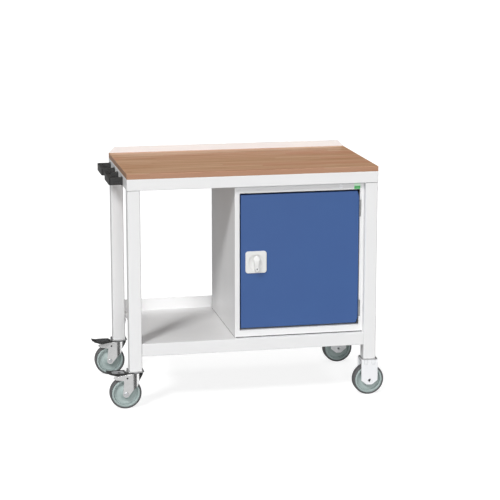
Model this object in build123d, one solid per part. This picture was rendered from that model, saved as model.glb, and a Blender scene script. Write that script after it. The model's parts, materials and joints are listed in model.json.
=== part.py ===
from build123d import *
import math
import os

# Mobile workbench with a cupboard: millimetres, +Z up, +X to the right, -Y towards the user.
# The origin is on the floor under the middle of the whole object's outline.

# --- driving dimensions -------------------------------------------------------------------
bench_middle_x = 26.0      # the castors' wheels and pedals reach further out on the left
worktop_width = 1000.0
worktop_depth = 550.0
worktop_height = 935.0
worktop_thickness = 20.0
worktop_inset = 0.8        # the board stands back from the rails' faces
board_screw_inset = 24.8   # from the rails' faces to the screws under the board
board_screw_head = (4.5, 2.6)
pilot_radius = 2.0
pilot_depth = 13.0

sheet = 1.5                # rails, shelf and upstand
rail_height = 45.0
rail_flange = 40.0         # top flange that carries the board
rail_return = 12.0
rail_corner_radius = 4.0
rail_edge_radius = 2.4

upstand_rise = 25.0
upstand_lap = 40.0         # how far the upstand laps down over the rear rail
upstand_corner = 24.0
upstand_end_gap = 1.0
upstand_screw_drop = 22.0  # below the rails' top

leg_size = 50.0
leg_wall = 2.0
leg_radius = 4.0
leg_bottom = 152.0
foot_plate_thickness = 6.0

shelf_top = 261.0
shelf_lip = 50.0
shelf_return = 15.0
shelf_hem = 8.0
bracket_size = (30.0, 36.0, 40.0)
bracket_sheet = 3.0
bracket_bolt_drops = (16.0, 32.0)     # below the shelf's top

cabinet_left_x = -47.8
cabinet_width = 522.0
cabinet_front_y = -253.0
cabinet_depth = 500.0
cabinet_bottom = 261.2
cabinet_height = 608.5
cabinet_sheet = 1.2
plinth_height = 28.8
stile_left = 19.0
stile_right = 16.0
stile_return = 26.0
top_rail_height = 28.0
inner_shelf_z = 560.0
inner_shelf_edge = 25.0
inner_shelf_end = 12.0     # the folded ends that sit on the pegs
inner_shelf_setback = (40.0, 5.0)     # from the cupboard's front and back
peg_setback = (90.0, 60.0)
peg_half_width = 9.0
cabinet_bolt_inset = (60.0, 9.0)      # from its sides, and from its front and back
flange_depth = 12.0        # folded edges of the side panel, top rail and plinth
rear_flange = 14.0
plinth_return = 16.0

door_recess = 8.0
door_depth = 18.0
door_sheet = 1.2
door_gaps = (5.8, 2.2, 7.0, 8.0)   # left, right, bottom, top
door_notch = (7.0, 22.0)
door_return = 12.0
stiffener_span = (196.0, 262.0)
stiffener_flange = 12.0

hinge_radius = 3.5
hinge_length = 66.0
hinge_pin_radius = 2.0
hinge_axis = (459.0, -250.0)
hinge_heights = (358.0, 765.0)
hinge_gap = 0.3
hinge_sheet = 2.0
hinge_door_sheet = 1.4

lock_x = 38.0
lock_z = 564.0
escutcheon_size = (85.0, 88.0, 7.0)
escutcheon_radius = 11.0
dish_radius = 31.0
dish_depth = 3.5
spindle_radius = 4.0
boss_radius = 10.0
wing_top = 27.0
wing_bottom = 34.5
wing_height = 17.5
cylinder_drop = 24.5
cylinder_radius = 8.0
cam_reach = 78.0
cam_sheet = 3.0
cam_half_width = 9.0
wing_radii = (15.5, 10.0)  # top and bottom ends
hub_radius = 22.0

plug_x = 379.0
plug_drop = 14.5           # below the cupboard's top
plug_stem = 5.0
plug_head = (8.0, 1.6)
badge_size = (24.0, 0.9, 25.0)
badge_margin = (0.6, 1.4)  # from the opening's right side and top

handle_pitch = 128.0
handle_centres_y = (-86.0, 145.0)
handle_reach = 54.0
handle_z = 890.0
handle_section = (16.0, 20.0, 28.0)   # grip thickness, arm width, height
handle_bore = 11.5

wheel_radius = 62.5
tyre_width = 36.0
rim_radius = 55.5
hub_width = 54.0
axle_radius = 6.0
running_gap = 0.05
trail = 40.0
fork_half_width = 31.0
fork_sheet = 3.0
fork_eye_radius = 13.0
crown_top = 144.7
top_plate_size = 64.0
top_plate_sheet = 3.0
stem_radius = 6.0
stem_top = 168.0
stem_head = (11.0, 7.5)    # half the width across corners, thickness
race_radii = (27.0, 14.0)
bearing_gap = 0.3
fixed_fork_half_length = 33.5
fixed_fork_foot = (44.0, 62.5, 10.5)  # foot height, knee height, half the flat
rib_offset = 15.5
rib_radius = 6.5
rib_low_z = 134.0
hollow_axle_bore = 4.2
brake_pivot = (-35.0, 127.0)
brake_pin_radius = 3.3
brake_ear_y = 25.0
brake_ear_sheet = 2.5
pedal_half_width = 27.0

screw_radius = 3.0
screw_length = 12.0
screw_head = (5.25, 3.3)
nut_size = (5.0, 5.0)      # half the width across flats, thickness
hole_slack = 0.2

# --- positions worked out from them -------------------------------------------------------
left_x = bench_middle_x - worktop_width / 2
right_x = bench_middle_x + worktop_width / 2
front_y = -worktop_depth / 2
rear_y = worktop_depth / 2
rail_top = worktop_height - worktop_thickness
rail_bottom = rail_top - rail_height
leg_offset = sheet + leg_size / 2
leg_xs = {"left": left_x + leg_offset, "right": right_x - leg_offset}
leg_ys = {"front": front_y + leg_offset, "rear": rear_y - leg_offset}
bay_left = leg_xs["left"] + leg_size / 2
bay_right = leg_xs["right"] - leg_size / 2
cabinet_right_x = cabinet_left_x + cabinet_width
cabinet_rear_y = cabinet_front_y + cabinet_depth
cabinet_top_z = cabinet_bottom + cabinet_height
plinth_top = cabinet_bottom + plinth_height
opening_left = cabinet_left_x + stile_left
opening_right = cabinet_right_x - stile_right
opening_top = cabinet_top_z - top_rail_height
door_left = opening_left + door_gaps[0]
door_right = opening_right - door_gaps[1]
door_bottom = plinth_top + door_gaps[2]
door_top = opening_top - door_gaps[3]
door_front_y = cabinet_front_y + door_recess
door_back_y = door_front_y + door_depth
upstand_screw_z = rail_top - upstand_screw_drop
plug_z = cabinet_top_z - plug_drop
plate_front_y = door_front_y - escutcheon_size[2]
dish_floor_y = plate_front_y + dish_depth
wing_back_y = plate_front_y - bearing_gap
wing_front_y = wing_back_y - wing_height
cylinder_z = lock_z - cylinder_drop
cam_y = door_back_y + 0.5
swivel_x = leg_xs["left"]
fixed_x = leg_xs["right"]


# --- small helpers ------------------------------------------------------------------------
def block(x0, x1, y0, y1, z0, z1):
    """A box between two corners."""
    size = Box(x1 - x0, y1 - y0, z1 - z0)
    return Pos((x0 + x1) / 2, (y0 + y1) / 2, (z0 + z1) / 2) * size


def rod_z(x, y, z0, z1, radius):
    return Pos(x, y, (z0 + z1) / 2) * Cylinder(radius, z1 - z0)


def rod_y(x, z, y0, y1, radius):
    return Pos(x, (y0 + y1) / 2, z) * Rot(90, 0, 0) * Cylinder(radius, y1 - y0)


def rod_x(y, z, x0, x1, radius):
    return Pos((x0 + x1) / 2, y, z) * Rot(0, 90, 0) * Cylinder(radius, x1 - x0)


def prism_y(points, y0, y1):
    """An outline of (x, z) points, carried along Y from y0 to y1."""
    face = make_face(Polyline(*[(x, z) for x, z in points], close=True))
    return Pos(0, y1, 0) * Rot(90, 0, 0) * extrude(face, y1 - y0)


def turned(points):
    """An outline of (radius, width) points, turned about the Y axis."""
    return revolve(make_face(Polyline(*points, close=True)), Axis.Y, 360)


def rounded_tube(x, y, z0, z1, size, radius, wall):
    outer = extrude(Pos(x, y, z0) * RectangleRounded(size, size, radius), z1 - z0)
    inner_size = size - 2 * wall
    inner = extrude(Pos(x, y, z0) * RectangleRounded(inner_size, inner_size, radius - wall), z1 - z0)
    return outer - inner


def solids_of(shapes):
    """Several separate solids as one group."""
    found = []
    for shape in shapes:
        found += shape.solids()
    return Compound(children=found)


def save(shape, node):
    export_step(shape, f"parts/{node}.step")


# --- board, rails and upstand -------------------------------------------------------------
def worktop_screw_places():
    inset = board_screw_inset
    xs = [left_x + worktop_width * part for part in (0.2, 0.5, 0.8)]
    places = [(x, y) for y in (front_y + inset, rear_y - inset) for x in xs]
    return places + [(left_x + inset, 0.0), (right_x - inset, 0.0)]


def worktop():
    edge = worktop_inset
    board = block(left_x + edge, right_x - edge, front_y + edge, rear_y, rail_top, worktop_height)
    board = fillet(board.edges().group_by(Axis.Z)[-1], 1.0)
    for x, y in worktop_screw_places():
        board -= rod_z(x, y, rail_top - 1, rail_top + pilot_depth, pilot_radius + running_gap)
    return board


def rail_ring():
    """The whole top frame, before it is cut at the mitres."""
    outer = block(left_x, right_x, front_y, rear_y, rail_bottom, rail_top)
    outer = fillet(outer.edges().filter_by(Axis.Z), rail_corner_radius)
    ends = outer.edges().group_by(Axis.Z)
    outer = fillet(ends[-1] + ends[0], rail_edge_radius)
    inside = block(left_x + sheet, right_x - sheet, front_y + sheet, rear_y - sheet,
                   rail_bottom + sheet, rail_top - sheet)
    inside = fillet(inside.edges().filter_by(Axis.Z), rail_corner_radius - sheet)
    top_window = block(left_x + rail_flange, right_x - rail_flange,
                       front_y + rail_flange, rear_y - rail_flange, rail_top - 2 * sheet, rail_top + 1)
    low_window = block(left_x + rail_return, right_x - rail_return,
                       front_y + rail_return, rear_y - rail_return, rail_bottom - 1, rail_bottom + 2 * sheet)
    ring = outer - inside - top_window - low_window
    pocket = leg_size / 2 + hole_slack
    for x in leg_xs.values():
        for y in leg_ys.values():
            side_x = math.copysign(1, x - bench_middle_x)
            side_y = math.copysign(1, y)
            # the return flange stops at the legs
            ring -= block(*sorted((x - side_x * pocket, x + side_x * (pocket - hole_slack))),
                          *sorted((y - side_y * pocket, y + side_y * (pocket - hole_slack))),
                          rail_bottom - 1, rail_bottom + sheet)
    for x, y in worktop_screw_places():
        ring -= rod_z(x, y, rail_top - 2 * sheet, rail_top + 1, pilot_radius + hole_slack)
    for y in handle_screw_ys():
        ring -= rod_x(y, handle_z, left_x - 1, left_x + 2 * sheet, screw_radius + hole_slack)
    for x in upstand_screw_xs():
        ring -= rod_y(x, upstand_screw_z, rear_y - 2 * sheet, rear_y + 1, screw_radius + hole_slack)
    return ring


def mitre_wedge(side):
    """The part of the plan that one rail keeps, cut at 45 degrees at both ends."""
    reach = worktop_depth / 2
    far = 50.0
    if side in ("left", "right"):
        sign = -1 if side == "left" else 1
        outer_x = bench_middle_x + sign * (worktop_width / 2 + far)
        inner_x = bench_middle_x + sign * (worktop_width / 2 - reach)
        outline = [(inner_x, 0), (outer_x, reach + far), (outer_x, -reach - far)]
    else:
        sign = -1 if side == "front" else 1
        inner = worktop_width / 2 - reach
        outline = [(bench_middle_x - inner, 0), (bench_middle_x + inner, 0),
                   (bench_middle_x + worktop_width / 2 + far, sign * (reach + far)),
                   (bench_middle_x - worktop_width / 2 - far, sign * (reach + far))]
    face = make_face(Polyline(*outline, close=True))
    return Pos(0, 0, rail_bottom - 10) * extrude(face, rail_height + 20)


def upstand_screw_xs():
    return [left_x + worktop_width * part for part in (0.12, 0.37, 0.63, 0.88)]


def rear_upstand():
    """Flat plate against the rear rail, its top corners cut off at 45 degrees."""
    top = worktop_height + upstand_rise
    low = rail_top - upstand_lap
    x0, x1 = left_x + upstand_end_gap, right_x - upstand_end_gap
    outline = [(x0, low), (x1, low), (x1, top - upstand_corner), (x1 - upstand_corner, top),
               (x0 + upstand_corner, top), (x0, top - upstand_corner)]
    plate = prism_y(outline, rear_y, rear_y + sheet)
    for x in upstand_screw_xs():
        plate -= rod_y(x, upstand_screw_z, rear_y - 1, rear_y + sheet + 1, screw_radius + hole_slack)
    return plate


# --- legs, feet and lower shelf -----------------------------------------------------------
def bracket_bolt_places():
    """(leg side, y, z) of the bolts that hold the shelf's brackets to the legs."""
    heights = [shelf_top - drop for drop in bracket_bolt_drops]
    return [(side, y, z) for side in leg_xs for y in leg_ys.values() for z in heights]


def leg(side, end):
    x, y = leg_xs[side], leg_ys[end]
    tube = rounded_tube(x, y, leg_bottom, rail_top - sheet - hole_slack, leg_size, leg_radius, leg_wall)
    inward = 1 if side == "left" else -1
    wall_x = x + inward * leg_size / 2
    for bolt_side, bolt_y, z in bracket_bolt_places():
        if bolt_side == side and bolt_y == y:
            tube -= rod_x(y, z, *sorted((wall_x - inward * 5, wall_x + inward)), screw_radius + hole_slack)
    return tube


def foot_plates():
    """Threaded plates welded into the legs' ends."""
    size = leg_size - 2 * leg_wall - 2 * hole_slack
    thick = foot_plate_thickness
    plates = []
    for x in leg_xs.values():
        for y in leg_ys.values():
            outline = Pos(x, y, leg_bottom) * RectangleRounded(size, size, leg_radius - leg_wall)
            bore = rod_z(x, y, leg_bottom - 1, leg_bottom + thick + 1, stem_radius + running_gap)
            plates.append(extrude(outline, thick) - bore)
    return solids_of(plates)


def cabinet_bolt_places():
    across, along = cabinet_bolt_inset
    xs = (cabinet_left_x + across, cabinet_right_x - across)
    return [(x, y) for x in xs for y in (cabinet_front_y + along, cabinet_rear_y - along)]


def lower_shelf():
    """Tray between the legs: lip down at the front, upstand at the back, small hems at the ends."""
    x0, x1 = bay_left + hole_slack, bay_right - hole_slack
    y0, y1 = front_y + sheet, rear_y - sheet
    under = shelf_top - sheet
    lip_foot = shelf_top - shelf_lip
    tray = block(x0, x1, y0, y1, under, shelf_top)
    tray += block(x0, x1, y0, y0 + sheet, lip_foot, shelf_top)
    tray += block(x0, x1, y0, y0 + shelf_return, lip_foot, lip_foot + sheet)
    tray += block(x0, x1, y1 - sheet, y1, under, shelf_top + shelf_lip)
    hem_y = leg_ys["rear"] - leg_size
    tray += block(x0, x0 + sheet, -hem_y, hem_y, shelf_top - shelf_hem, shelf_top)
    tray += block(x1 - sheet, x1, -hem_y, hem_y, shelf_top - shelf_hem, shelf_top)
    front_edges = [e for e in tray.edges().filter_by(Axis.X) if abs(e.center().Y - y0) < 0.01]
    tray = fillet(front_edges, sheet - 0.1)
    for x, y in cabinet_bolt_places():
        tray -= rod_z(x, y, under - 1, shelf_top + 1, screw_radius + hole_slack)
    return tray


def shelf_brackets():
    """Angle brackets screwed to the legs, which the shelf lies on."""
    along, across, drop = bracket_size
    top = shelf_top - sheet
    brackets = []
    for side, y in [(s, y) for s in leg_xs for y in leg_ys.values()]:
        inward = 1 if side == "left" else -1
        wall_x = leg_xs[side] + inward * leg_size / 2
        upright = block(*sorted((wall_x, wall_x + inward * bracket_sheet)),
                        y - across / 2, y + across / 2, top - drop, top)
        arm = block(*sorted((wall_x, wall_x + inward * along)),
                    y - across / 2, y + across / 2, top - bracket_sheet, top)
        bracket = upright + arm
        for bolt_side, bolt_y, z in bracket_bolt_places():
            if bolt_side == side and bolt_y == y:
                reach = sorted((wall_x - inward, wall_x + inward * (bracket_sheet + 1)))
                bracket -= rod_x(y, z, *reach, screw_radius + hole_slack)
        brackets.append(bracket)
    return solids_of(brackets)


# --- cupboard -----------------------------------------------------------------------------
def cabinet_side(side):
    """Side panel with its front edge folded into the stile and its rear edge into a flange."""
    t = cabinet_sheet
    left = side == "left"
    outer = cabinet_left_x if left else cabinet_right_x
    inward = 1 if left else -1
    stile = stile_left if left else stile_right
    depth = stile_return if left else flange_depth
    z0, z1 = plinth_top, cabinet_top_z
    panel = block(*sorted((outer, outer + inward * t)), cabinet_front_y, cabinet_rear_y, z0, z1)
    panel += block(*sorted((outer, outer + inward * stile)), cabinet_front_y, cabinet_front_y + t, z0, z1)
    panel += block(*sorted((outer + inward * (stile - t), outer + inward * stile)),
                   cabinet_front_y, cabinet_front_y + depth, z0, opening_top - 1.0)
    panel += block(*sorted((outer, outer + inward * rear_flange)),
                   cabinet_rear_y - 2 * t, cabinet_rear_y - t, z0, z1 - 2 * t)
    front = [e for e in panel.edges().filter_by(Axis.Z)
             if abs(e.center().Y - cabinet_front_y) < 0.01 and abs(e.center().X - outer) < 0.01]
    panel = fillet(front, t - 0.1)
    if not left:
        for z in hinge_heights:
            half = hinge_length / 2 + 1.0
            notch_x = hinge_axis[0] + hinge_radius + 0.7
            panel -= block(opening_right - 1, notch_x, cabinet_front_y - 1, cabinet_front_y + 30,
                           z - half, z + half)
    return panel


def cabinet_top():
    """Top panel with the rail over the door, whose lower edge is folded back."""
    t = cabinet_sheet
    x0, x1 = cabinet_left_x + t, cabinet_right_x - t
    z1 = cabinet_top_z
    panel = block(x0, x1, cabinet_front_y + t, cabinet_rear_y - 2 * t, z1 - t, z1)
    rail = block(opening_left, opening_right, cabinet_front_y, cabinet_front_y + t, opening_top, z1)
    lip = block(opening_left, opening_right, cabinet_front_y, cabinet_front_y + flange_depth,
                opening_top, opening_top + t)
    join = block(opening_left, opening_right, cabinet_front_y, cabinet_front_y + 2 * t, z1 - t, z1)
    # the panel is cut back around the stiles' tops
    for cut_x0, cut_x1 in ((x0 - 1, opening_left), (opening_right, x1 + 1)):
        panel -= block(cut_x0, cut_x1, cabinet_front_y - 1, cabinet_front_y + 2 * t, z1 - 5, z1 + 1)
    whole = panel + rail + lip + join
    return whole - rod_y(plug_x, plug_z, cabinet_front_y - 1, cabinet_front_y + 3, plug_stem + hole_slack)


def cabinet_floor():
    """Plinth: the floor panel with all four edges folded down, standing on the shelf."""
    t = cabinet_sheet
    x0, x1 = cabinet_left_x, cabinet_right_x
    y0, y1 = cabinet_front_y, cabinet_rear_y
    z0, z1 = cabinet_bottom, plinth_top
    plinth = block(x0, x1, y0, y1, z0, z1)
    plinth = fillet(plinth.edges().filter_by(Axis.Z), 1.1)
    plinth -= block(x0 + t, x1 - t, y0 + t, y1 - t, z0 - 1, z1 - t)
    for edge_y in (y0, y1 - plinth_return):
        plinth += block(x0 + t, x1 - t, edge_y, edge_y + plinth_return, z0, z0 + t)
    for x, y in cabinet_bolt_places():
        plinth -= rod_z(x, y, z0 - 1, z0 + t + 1, screw_radius + hole_slack)
    return plinth


def cabinet_back():
    t = cabinet_sheet
    return block(cabinet_left_x + t + 0.3, cabinet_right_x - t - 0.3,
                 cabinet_rear_y - t, cabinet_rear_y, plinth_top, cabinet_top_z - 0.2)


def cabinet_shelf():
    """Loose tray-shaped shelf with its four edges folded down."""
    t = cabinet_sheet
    side_gap = 1.5
    x0, x1 = cabinet_left_x + t + side_gap, cabinet_right_x - t - side_gap
    y0, y1 = cabinet_front_y + inner_shelf_setback[0], cabinet_rear_y - inner_shelf_setback[1]
    z1 = inner_shelf_z
    shelf = block(x0, x1, y0, y1, z1 - inner_shelf_edge, z1)
    shelf -= block(x0 + t, x1 - t, y0 + t, y1 - t, z1 - inner_shelf_edge - 1, z1 - t)
    # the folded ends are cut short so that the shelf sits on its pegs
    for x in (x0, x1 - t):
        shelf -= block(x - 0.1, x + t + 0.1, y0 + t, y1 - t, z1 - inner_shelf_edge - 1, z1 - inner_shelf_end)
    return shelf


def shelf_pegs():
    """Four L clips hooked to the side panels, with the shelf's folded ends resting on them."""
    t = cabinet_sheet
    half = peg_half_width
    top = inner_shelf_z - inner_shelf_end
    pegs = []
    for outer, inward in ((cabinet_left_x + t, 1), (cabinet_right_x - t, -1)):
        for y in (cabinet_front_y + peg_setback[0], cabinet_rear_y - peg_setback[1]):
            arm = block(*sorted((outer, outer + inward * 12)), y - half, y + half, top - 1.5, top)
            hook = block(*sorted((outer, outer + inward * 1.2)), y - half, y + half, top - 14, top)
            pegs.append(arm + hook)
    return solids_of(pegs)


def blanking_plug():
    radius, height = plug_head
    head = rod_y(plug_x, plug_z, cabinet_front_y - height, cabinet_front_y, radius)
    head = fillet(head.edges().group_by(Axis.Y)[0], 1.0)
    return head + rod_y(plug_x, plug_z, cabinet_front_y - 0.5, cabinet_front_y + 5, plug_stem)


def badge_plate():
    width, thick, height = badge_size
    x1, z0 = opening_right - badge_margin[0], opening_top + badge_margin[1]
    plate = block(x1 - width, x1, cabinet_front_y - thick, cabinet_front_y, z0, z0 + height)
    return fillet(plate.edges().filter_by(Axis.Y), 0.8)


# --- door ---------------------------------------------------------------------------------
def door_outline(shrink):
    """The door's outline with both hinge-side corners notched, drawn in by shrink."""
    dx, dz = door_notch
    x0, x1 = door_left + shrink, door_right - shrink
    z0, z1 = door_bottom + shrink, door_top - shrink
    return [(x0, z0), (x1 - dx, z0), (x1, z0 + dz), (x1, z1 - dz), (x1 - dx, z1), (x0, z1)]


def door_panel():
    """Pressed pan: flat face, edges folded back all round, with a return flange behind."""
    t = door_sheet
    pan = prism_y(door_outline(0), door_front_y, door_back_y)
    pan = fillet(pan.edges().group_by(Axis.Y)[0], 1.6)
    pan -= prism_y(door_outline(t), door_front_y + t, door_back_y - t)
    pan -= prism_y(door_outline(t + door_return), door_back_y - 2 * t, door_back_y + 1)
    pan -= rod_y(lock_x, lock_z, door_front_y - 1, door_front_y + 3, boss_radius + hole_slack)
    return pan


def door_stiffener():
    """Upright hat channel behind the face."""
    t = door_sheet
    x0, x1 = stiffener_span
    y0, y1 = door_front_y + t, door_back_y - 3.0
    z0, z1 = door_bottom + t + 2, door_top - t - 2
    hat = block(x0, x1, y0, y1, z0, z1) - block(x0 + t, x1 - t, y0 - 1, y1 - t, z0 - 1, z1 + 1)
    hat += block(x0 - stiffener_flange, x0 + t, y0, y0 + t, z0, z1)
    hat += block(x1 - t, x1 + stiffener_flange, y0, y0 + t, z0, z1)
    return hat


def hinge_frame_leaves():
    """Fixed halves: the lower knuckle with the pin standing up out of it, and a welding plate."""
    x, y = hinge_axis
    leaves = []
    for z in hinge_heights:
        z0, z1 = z - hinge_length / 2, z + hinge_length / 2
        middle = z - hinge_gap / 2
        plate_y = cabinet_front_y + cabinet_sheet
        leaf = rod_z(x, y, z0, middle, hinge_radius)
        leaf += block(x, cabinet_right_x - 2, plate_y, plate_y + hinge_sheet, z0, middle)
        leaf += block(x + hinge_radius + 1.0, cabinet_right_x - 2, plate_y, plate_y + hinge_sheet, z0, z1)
        leaf += rod_z(x, y, middle - 1, z1 - 3, hinge_pin_radius)
        leaves.append(leaf)
    return solids_of(leaves)


def hinge_door_leaves():
    """Moving halves: the upper knuckle, which drops over the pin, and a plate on the door's edge."""
    x, y = hinge_axis
    plate_x = door_right + hinge_door_sheet
    leaves = []
    for z in hinge_heights:
        z0, z1 = z - hinge_length / 2, z + hinge_length / 2
        middle = z + hinge_gap / 2
        plate = block(door_right, plate_x, y, door_back_y - 1.0, middle, z1)
        plate += block(door_right, plate_x, y + hinge_radius + 0.6, door_back_y - 1.0, z0, z1)
        leaf = rod_z(x, y, middle, z1, hinge_radius) + plate
        leaf -= rod_z(x, y, middle - 1, z1 - 2.5, hinge_pin_radius + running_gap)
        leaves.append(leaf)
    return solids_of(leaves)


# --- lock ---------------------------------------------------------------------------------
def lock_escutcheon():
    """Moulded plate with a round dish in front and a threaded boss through the door."""
    width, height, depth = escutcheon_size
    y0 = door_front_y - depth
    face = Rot(90, 0, 0) * RectangleRounded(width, height, escutcheon_radius)
    plate = Pos(lock_x, door_front_y, lock_z) * extrude(face, depth)
    plate = fillet(plate.edges().group_by(Axis.Y)[0], 2.5)
    dish = rod_y(lock_x, lock_z, y0 - 1, y0 + dish_depth, dish_radius)
    dish = fillet(dish.edges().group_by(Axis.Y)[-1], 2.5)
    plate -= dish
    plate += rod_y(lock_x, lock_z, door_front_y - 1, door_back_y + 0.2, boss_radius)
    return plate - rod_y(lock_x, lock_z, y0 - 1, door_back_y + 1, spindle_radius + running_gap)


def lock_nut():
    y0 = door_front_y + door_sheet
    nut = Pos(lock_x, y0, lock_z) * Rot(-90, 0, 0) * extrude(RegularPolygon(15.0, 6), 4.0)
    return nut - rod_y(lock_x, lock_z, y0 - 1, y0 + 5, boss_radius + running_gap)


def turn_handle():
    """Tapered wing, broad at the top and narrow round the lock cylinder, on a disc in the dish."""
    top_r, low_r = wing_radii
    top_z = lock_z + wing_top - top_r
    low_z = lock_z - wing_bottom + low_r
    tilt = math.asin((top_r - low_r) / (top_z - low_z))
    c, s = math.cos(tilt), math.sin(tilt)
    taper = prism_y([(lock_x - top_r * c, top_z - top_r * s), (lock_x - low_r * c, low_z - low_r * s),
                     (lock_x + low_r * c, low_z - low_r * s), (lock_x + top_r * c, top_z - top_r * s)],
                    wing_front_y, wing_back_y)
    wing = taper + rod_y(lock_x, top_z, wing_front_y, wing_back_y, top_r)
    wing += rod_y(lock_x, low_z, wing_front_y, wing_back_y, low_r)
    front = [e for e in wing.edges() if abs(e.center().Y - wing_front_y) < 0.01]
    wing = chamfer(front, 1.5)
    wing -= crown_wedge(top_z + top_r)
    wing += rod_y(lock_x, lock_z, wing_back_y - 1, dish_floor_y - bearing_gap, hub_radius)
    bore_y = wing_front_y + 12.0
    return wing - rod_y(lock_x, cylinder_z, wing_front_y - 1, bore_y, cylinder_radius + running_gap)


def crown_wedge(top):
    """Wedge that takes the front of the wing down towards its top end."""
    outline = [(wing_front_y - 1, top + 1), (wing_front_y + 9, top + 1), (wing_front_y - 1, top - 26)]
    face = make_face(Polyline(*outline, close=True))
    wedge = Rot(90, 0, 0) * Rot(0, 90, 0) * extrude(face, 60)
    return Pos(lock_x - 30, 0, 0) * wedge


def lock_cylinder():
    y0 = wing_front_y - 0.8
    core = rod_y(lock_x, cylinder_z, y0, wing_front_y + 11.5, cylinder_radius)
    core = chamfer(core.edges().group_by(Axis.Y)[0], 0.8)
    slot = block(lock_x - 0.9, lock_x + 0.9, y0 - 1, y0 + 6, cylinder_z - 3.6, cylinder_z + 3.6)
    return core - slot


def latch_spindle():
    return rod_y(lock_x, lock_z, dish_floor_y - bearing_gap, cam_y + 6.0, spindle_radius)


def latch_cam():
    """Bar behind the door: it hangs down when released and points at the stile when turned."""
    y0, y1 = cam_y, cam_y + cam_sheet
    half = cam_half_width
    bar = block(lock_x - half, lock_x + half, y0, y1, lock_z - cam_reach + half, lock_z)
    bar += rod_y(lock_x, lock_z - cam_reach + half, y0, y1, half)
    bar += rod_y(lock_x, lock_z, y0, y1, 12.0)
    return bar - rod_y(lock_x, lock_z, y0 - 1, y1 + 1, spindle_radius + 0.02)


# --- push handles -------------------------------------------------------------------------
def handle_screw_ys():
    return [centre + side * handle_pitch / 2 for centre in handle_centres_y for side in (-1, 1)]


def push_handle(centre_y):
    """Moulded U handle: two arms against the left rail and a grip bar across them."""
    grip, arm, height = handle_section
    half = handle_pitch / 2 + arm / 2
    x0 = left_x - handle_reach
    z0, z1 = handle_z - height / 2, handle_z + height / 2
    bow = block(x0, left_x, centre_y - half, centre_y + half, z0, z1)
    bow = fillet(bow.edges().filter_by(Axis.Z).group_by(Axis.X)[0], 5.0)
    opening = block(x0 + grip, left_x + 1, centre_y - half + arm, centre_y + half - arm, z0 - 1, z1 + 1)
    opening = fillet(opening.edges().filter_by(Axis.Z).group_by(Axis.X)[0], 6.0)
    bow -= opening
    outer = [e for e in bow.edges() if abs(e.center().X - x0) < 0.01 and e.length > 50]
    bow = fillet(outer, 5.0)
    for side in (-1, 1):
        bow -= rod_x(centre_y + side * handle_pitch / 2, handle_z, left_x - handle_bore, left_x + 1,
                     screw_radius + running_gap)
    return bow


# --- fasteners ----------------------------------------------------------------------------
def worktop_screws():
    radius, height = board_screw_head
    under = rail_top - sheet
    screws = []
    for x, y in worktop_screw_places():
        head = chamfer(rod_z(x, y, under - height, under, radius).edges().group_by(Axis.Z)[0], 1.2)
        screws.append(head + rod_z(x, y, under - 1, rail_top + pilot_depth - 1, pilot_radius))
    return solids_of(screws)


def frame_screw(where, direction):
    """A round-headed screw: where is under the head, direction is the way the shank points."""
    radius, height = screw_head
    head = Pos(0, 0, -height / 2) * Cylinder(radius, height)
    head = fillet(head.edges().group_by(Axis.Z)[0], 1.6)
    head -= Pos(0, 0, -height) * extrude(RegularPolygon(2.3, 6), 2.0)
    body = head + Pos(0, 0, screw_length / 2) * Cylinder(screw_radius, screw_length)
    return Plane(origin=where, z_dir=direction) * body


def frame_nut(where, direction):
    flats, thick = nut_size
    nut = extrude(RegularPolygon(flats / math.cos(math.pi / 6), 6), thick)
    nut -= Pos(0, 0, thick / 2) * Cylinder(screw_radius + running_gap, thick + 2)
    return Plane(origin=where, z_dir=direction) * nut


def frame_screws():
    screws = [frame_screw((left_x + sheet, y, handle_z), (-1, 0, 0)) for y in handle_screw_ys()]
    for side, y, z in bracket_bolt_places():
        inward = 1 if side == "left" else -1
        x = leg_xs[side] + inward * (leg_size / 2 + bracket_sheet)
        screws.append(frame_screw((x, y, z), (-inward, 0, 0)))
    for x, y in cabinet_bolt_places():
        screws.append(frame_screw((x, y, shelf_top - sheet), (0, 0, 1)))
    for x in upstand_screw_xs():
        screws.append(frame_screw((x, rear_y + sheet, upstand_screw_z), (0, -1, 0)))
    return solids_of(screws)


def frame_nuts():
    nuts = [frame_nut((x, y, cabinet_bottom + cabinet_sheet), (0, 0, 1)) for x, y in cabinet_bolt_places()]
    nuts += [frame_nut((x, rear_y - sheet, upstand_screw_z), (0, -1, 0)) for x in upstand_screw_xs()]
    return solids_of(nuts)


# --- castors: parts fixed to the legs -----------------------------------------------------
def castor_top_plates():
    plates = []
    for x in leg_xs.values():
        for y in leg_ys.values():
            plate = extrude(Pos(x, y, leg_bottom - top_plate_sheet)
                            * RectangleRounded(top_plate_size, top_plate_size, 6.0), top_plate_sheet)
            plates.append(plate - rod_z(x, y, 0, leg_bottom + 1, stem_radius + running_gap))
    return solids_of(plates)


def swivel_bearings():
    """Upper ball races under the two swivel castors' plates."""
    z0, z1 = crown_top + bearing_gap, leg_bottom - top_plate_sheet
    races = []
    for y in leg_ys.values():
        race = rod_z(swivel_x, y, z0, z1, race_radii[0])
        race = chamfer(race.edges().group_by(Axis.Z)[0], 1.2)
        races.append(race - rod_z(swivel_x, y, z0 - 1, z1 + 1, race_radii[1]))
    return solids_of(races)


def castor_bolts():
    """Bolts up into the foot plates. The swivel castors' forks turn on theirs."""
    bolts = []
    head_radius, head_thick = stem_head
    for side, under in (("left", crown_top - fork_sheet - bearing_gap),
                        ("right", leg_bottom - top_plate_sheet - fork_sheet)):
        for y in leg_ys.values():
            x = leg_xs[side]
            head = Pos(x, y, under - head_thick) * extrude(RegularPolygon(head_radius, 6), head_thick)
            bolts.append(head + rod_z(x, y, under - 1, stem_top, stem_radius))
    return solids_of(bolts)


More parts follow.
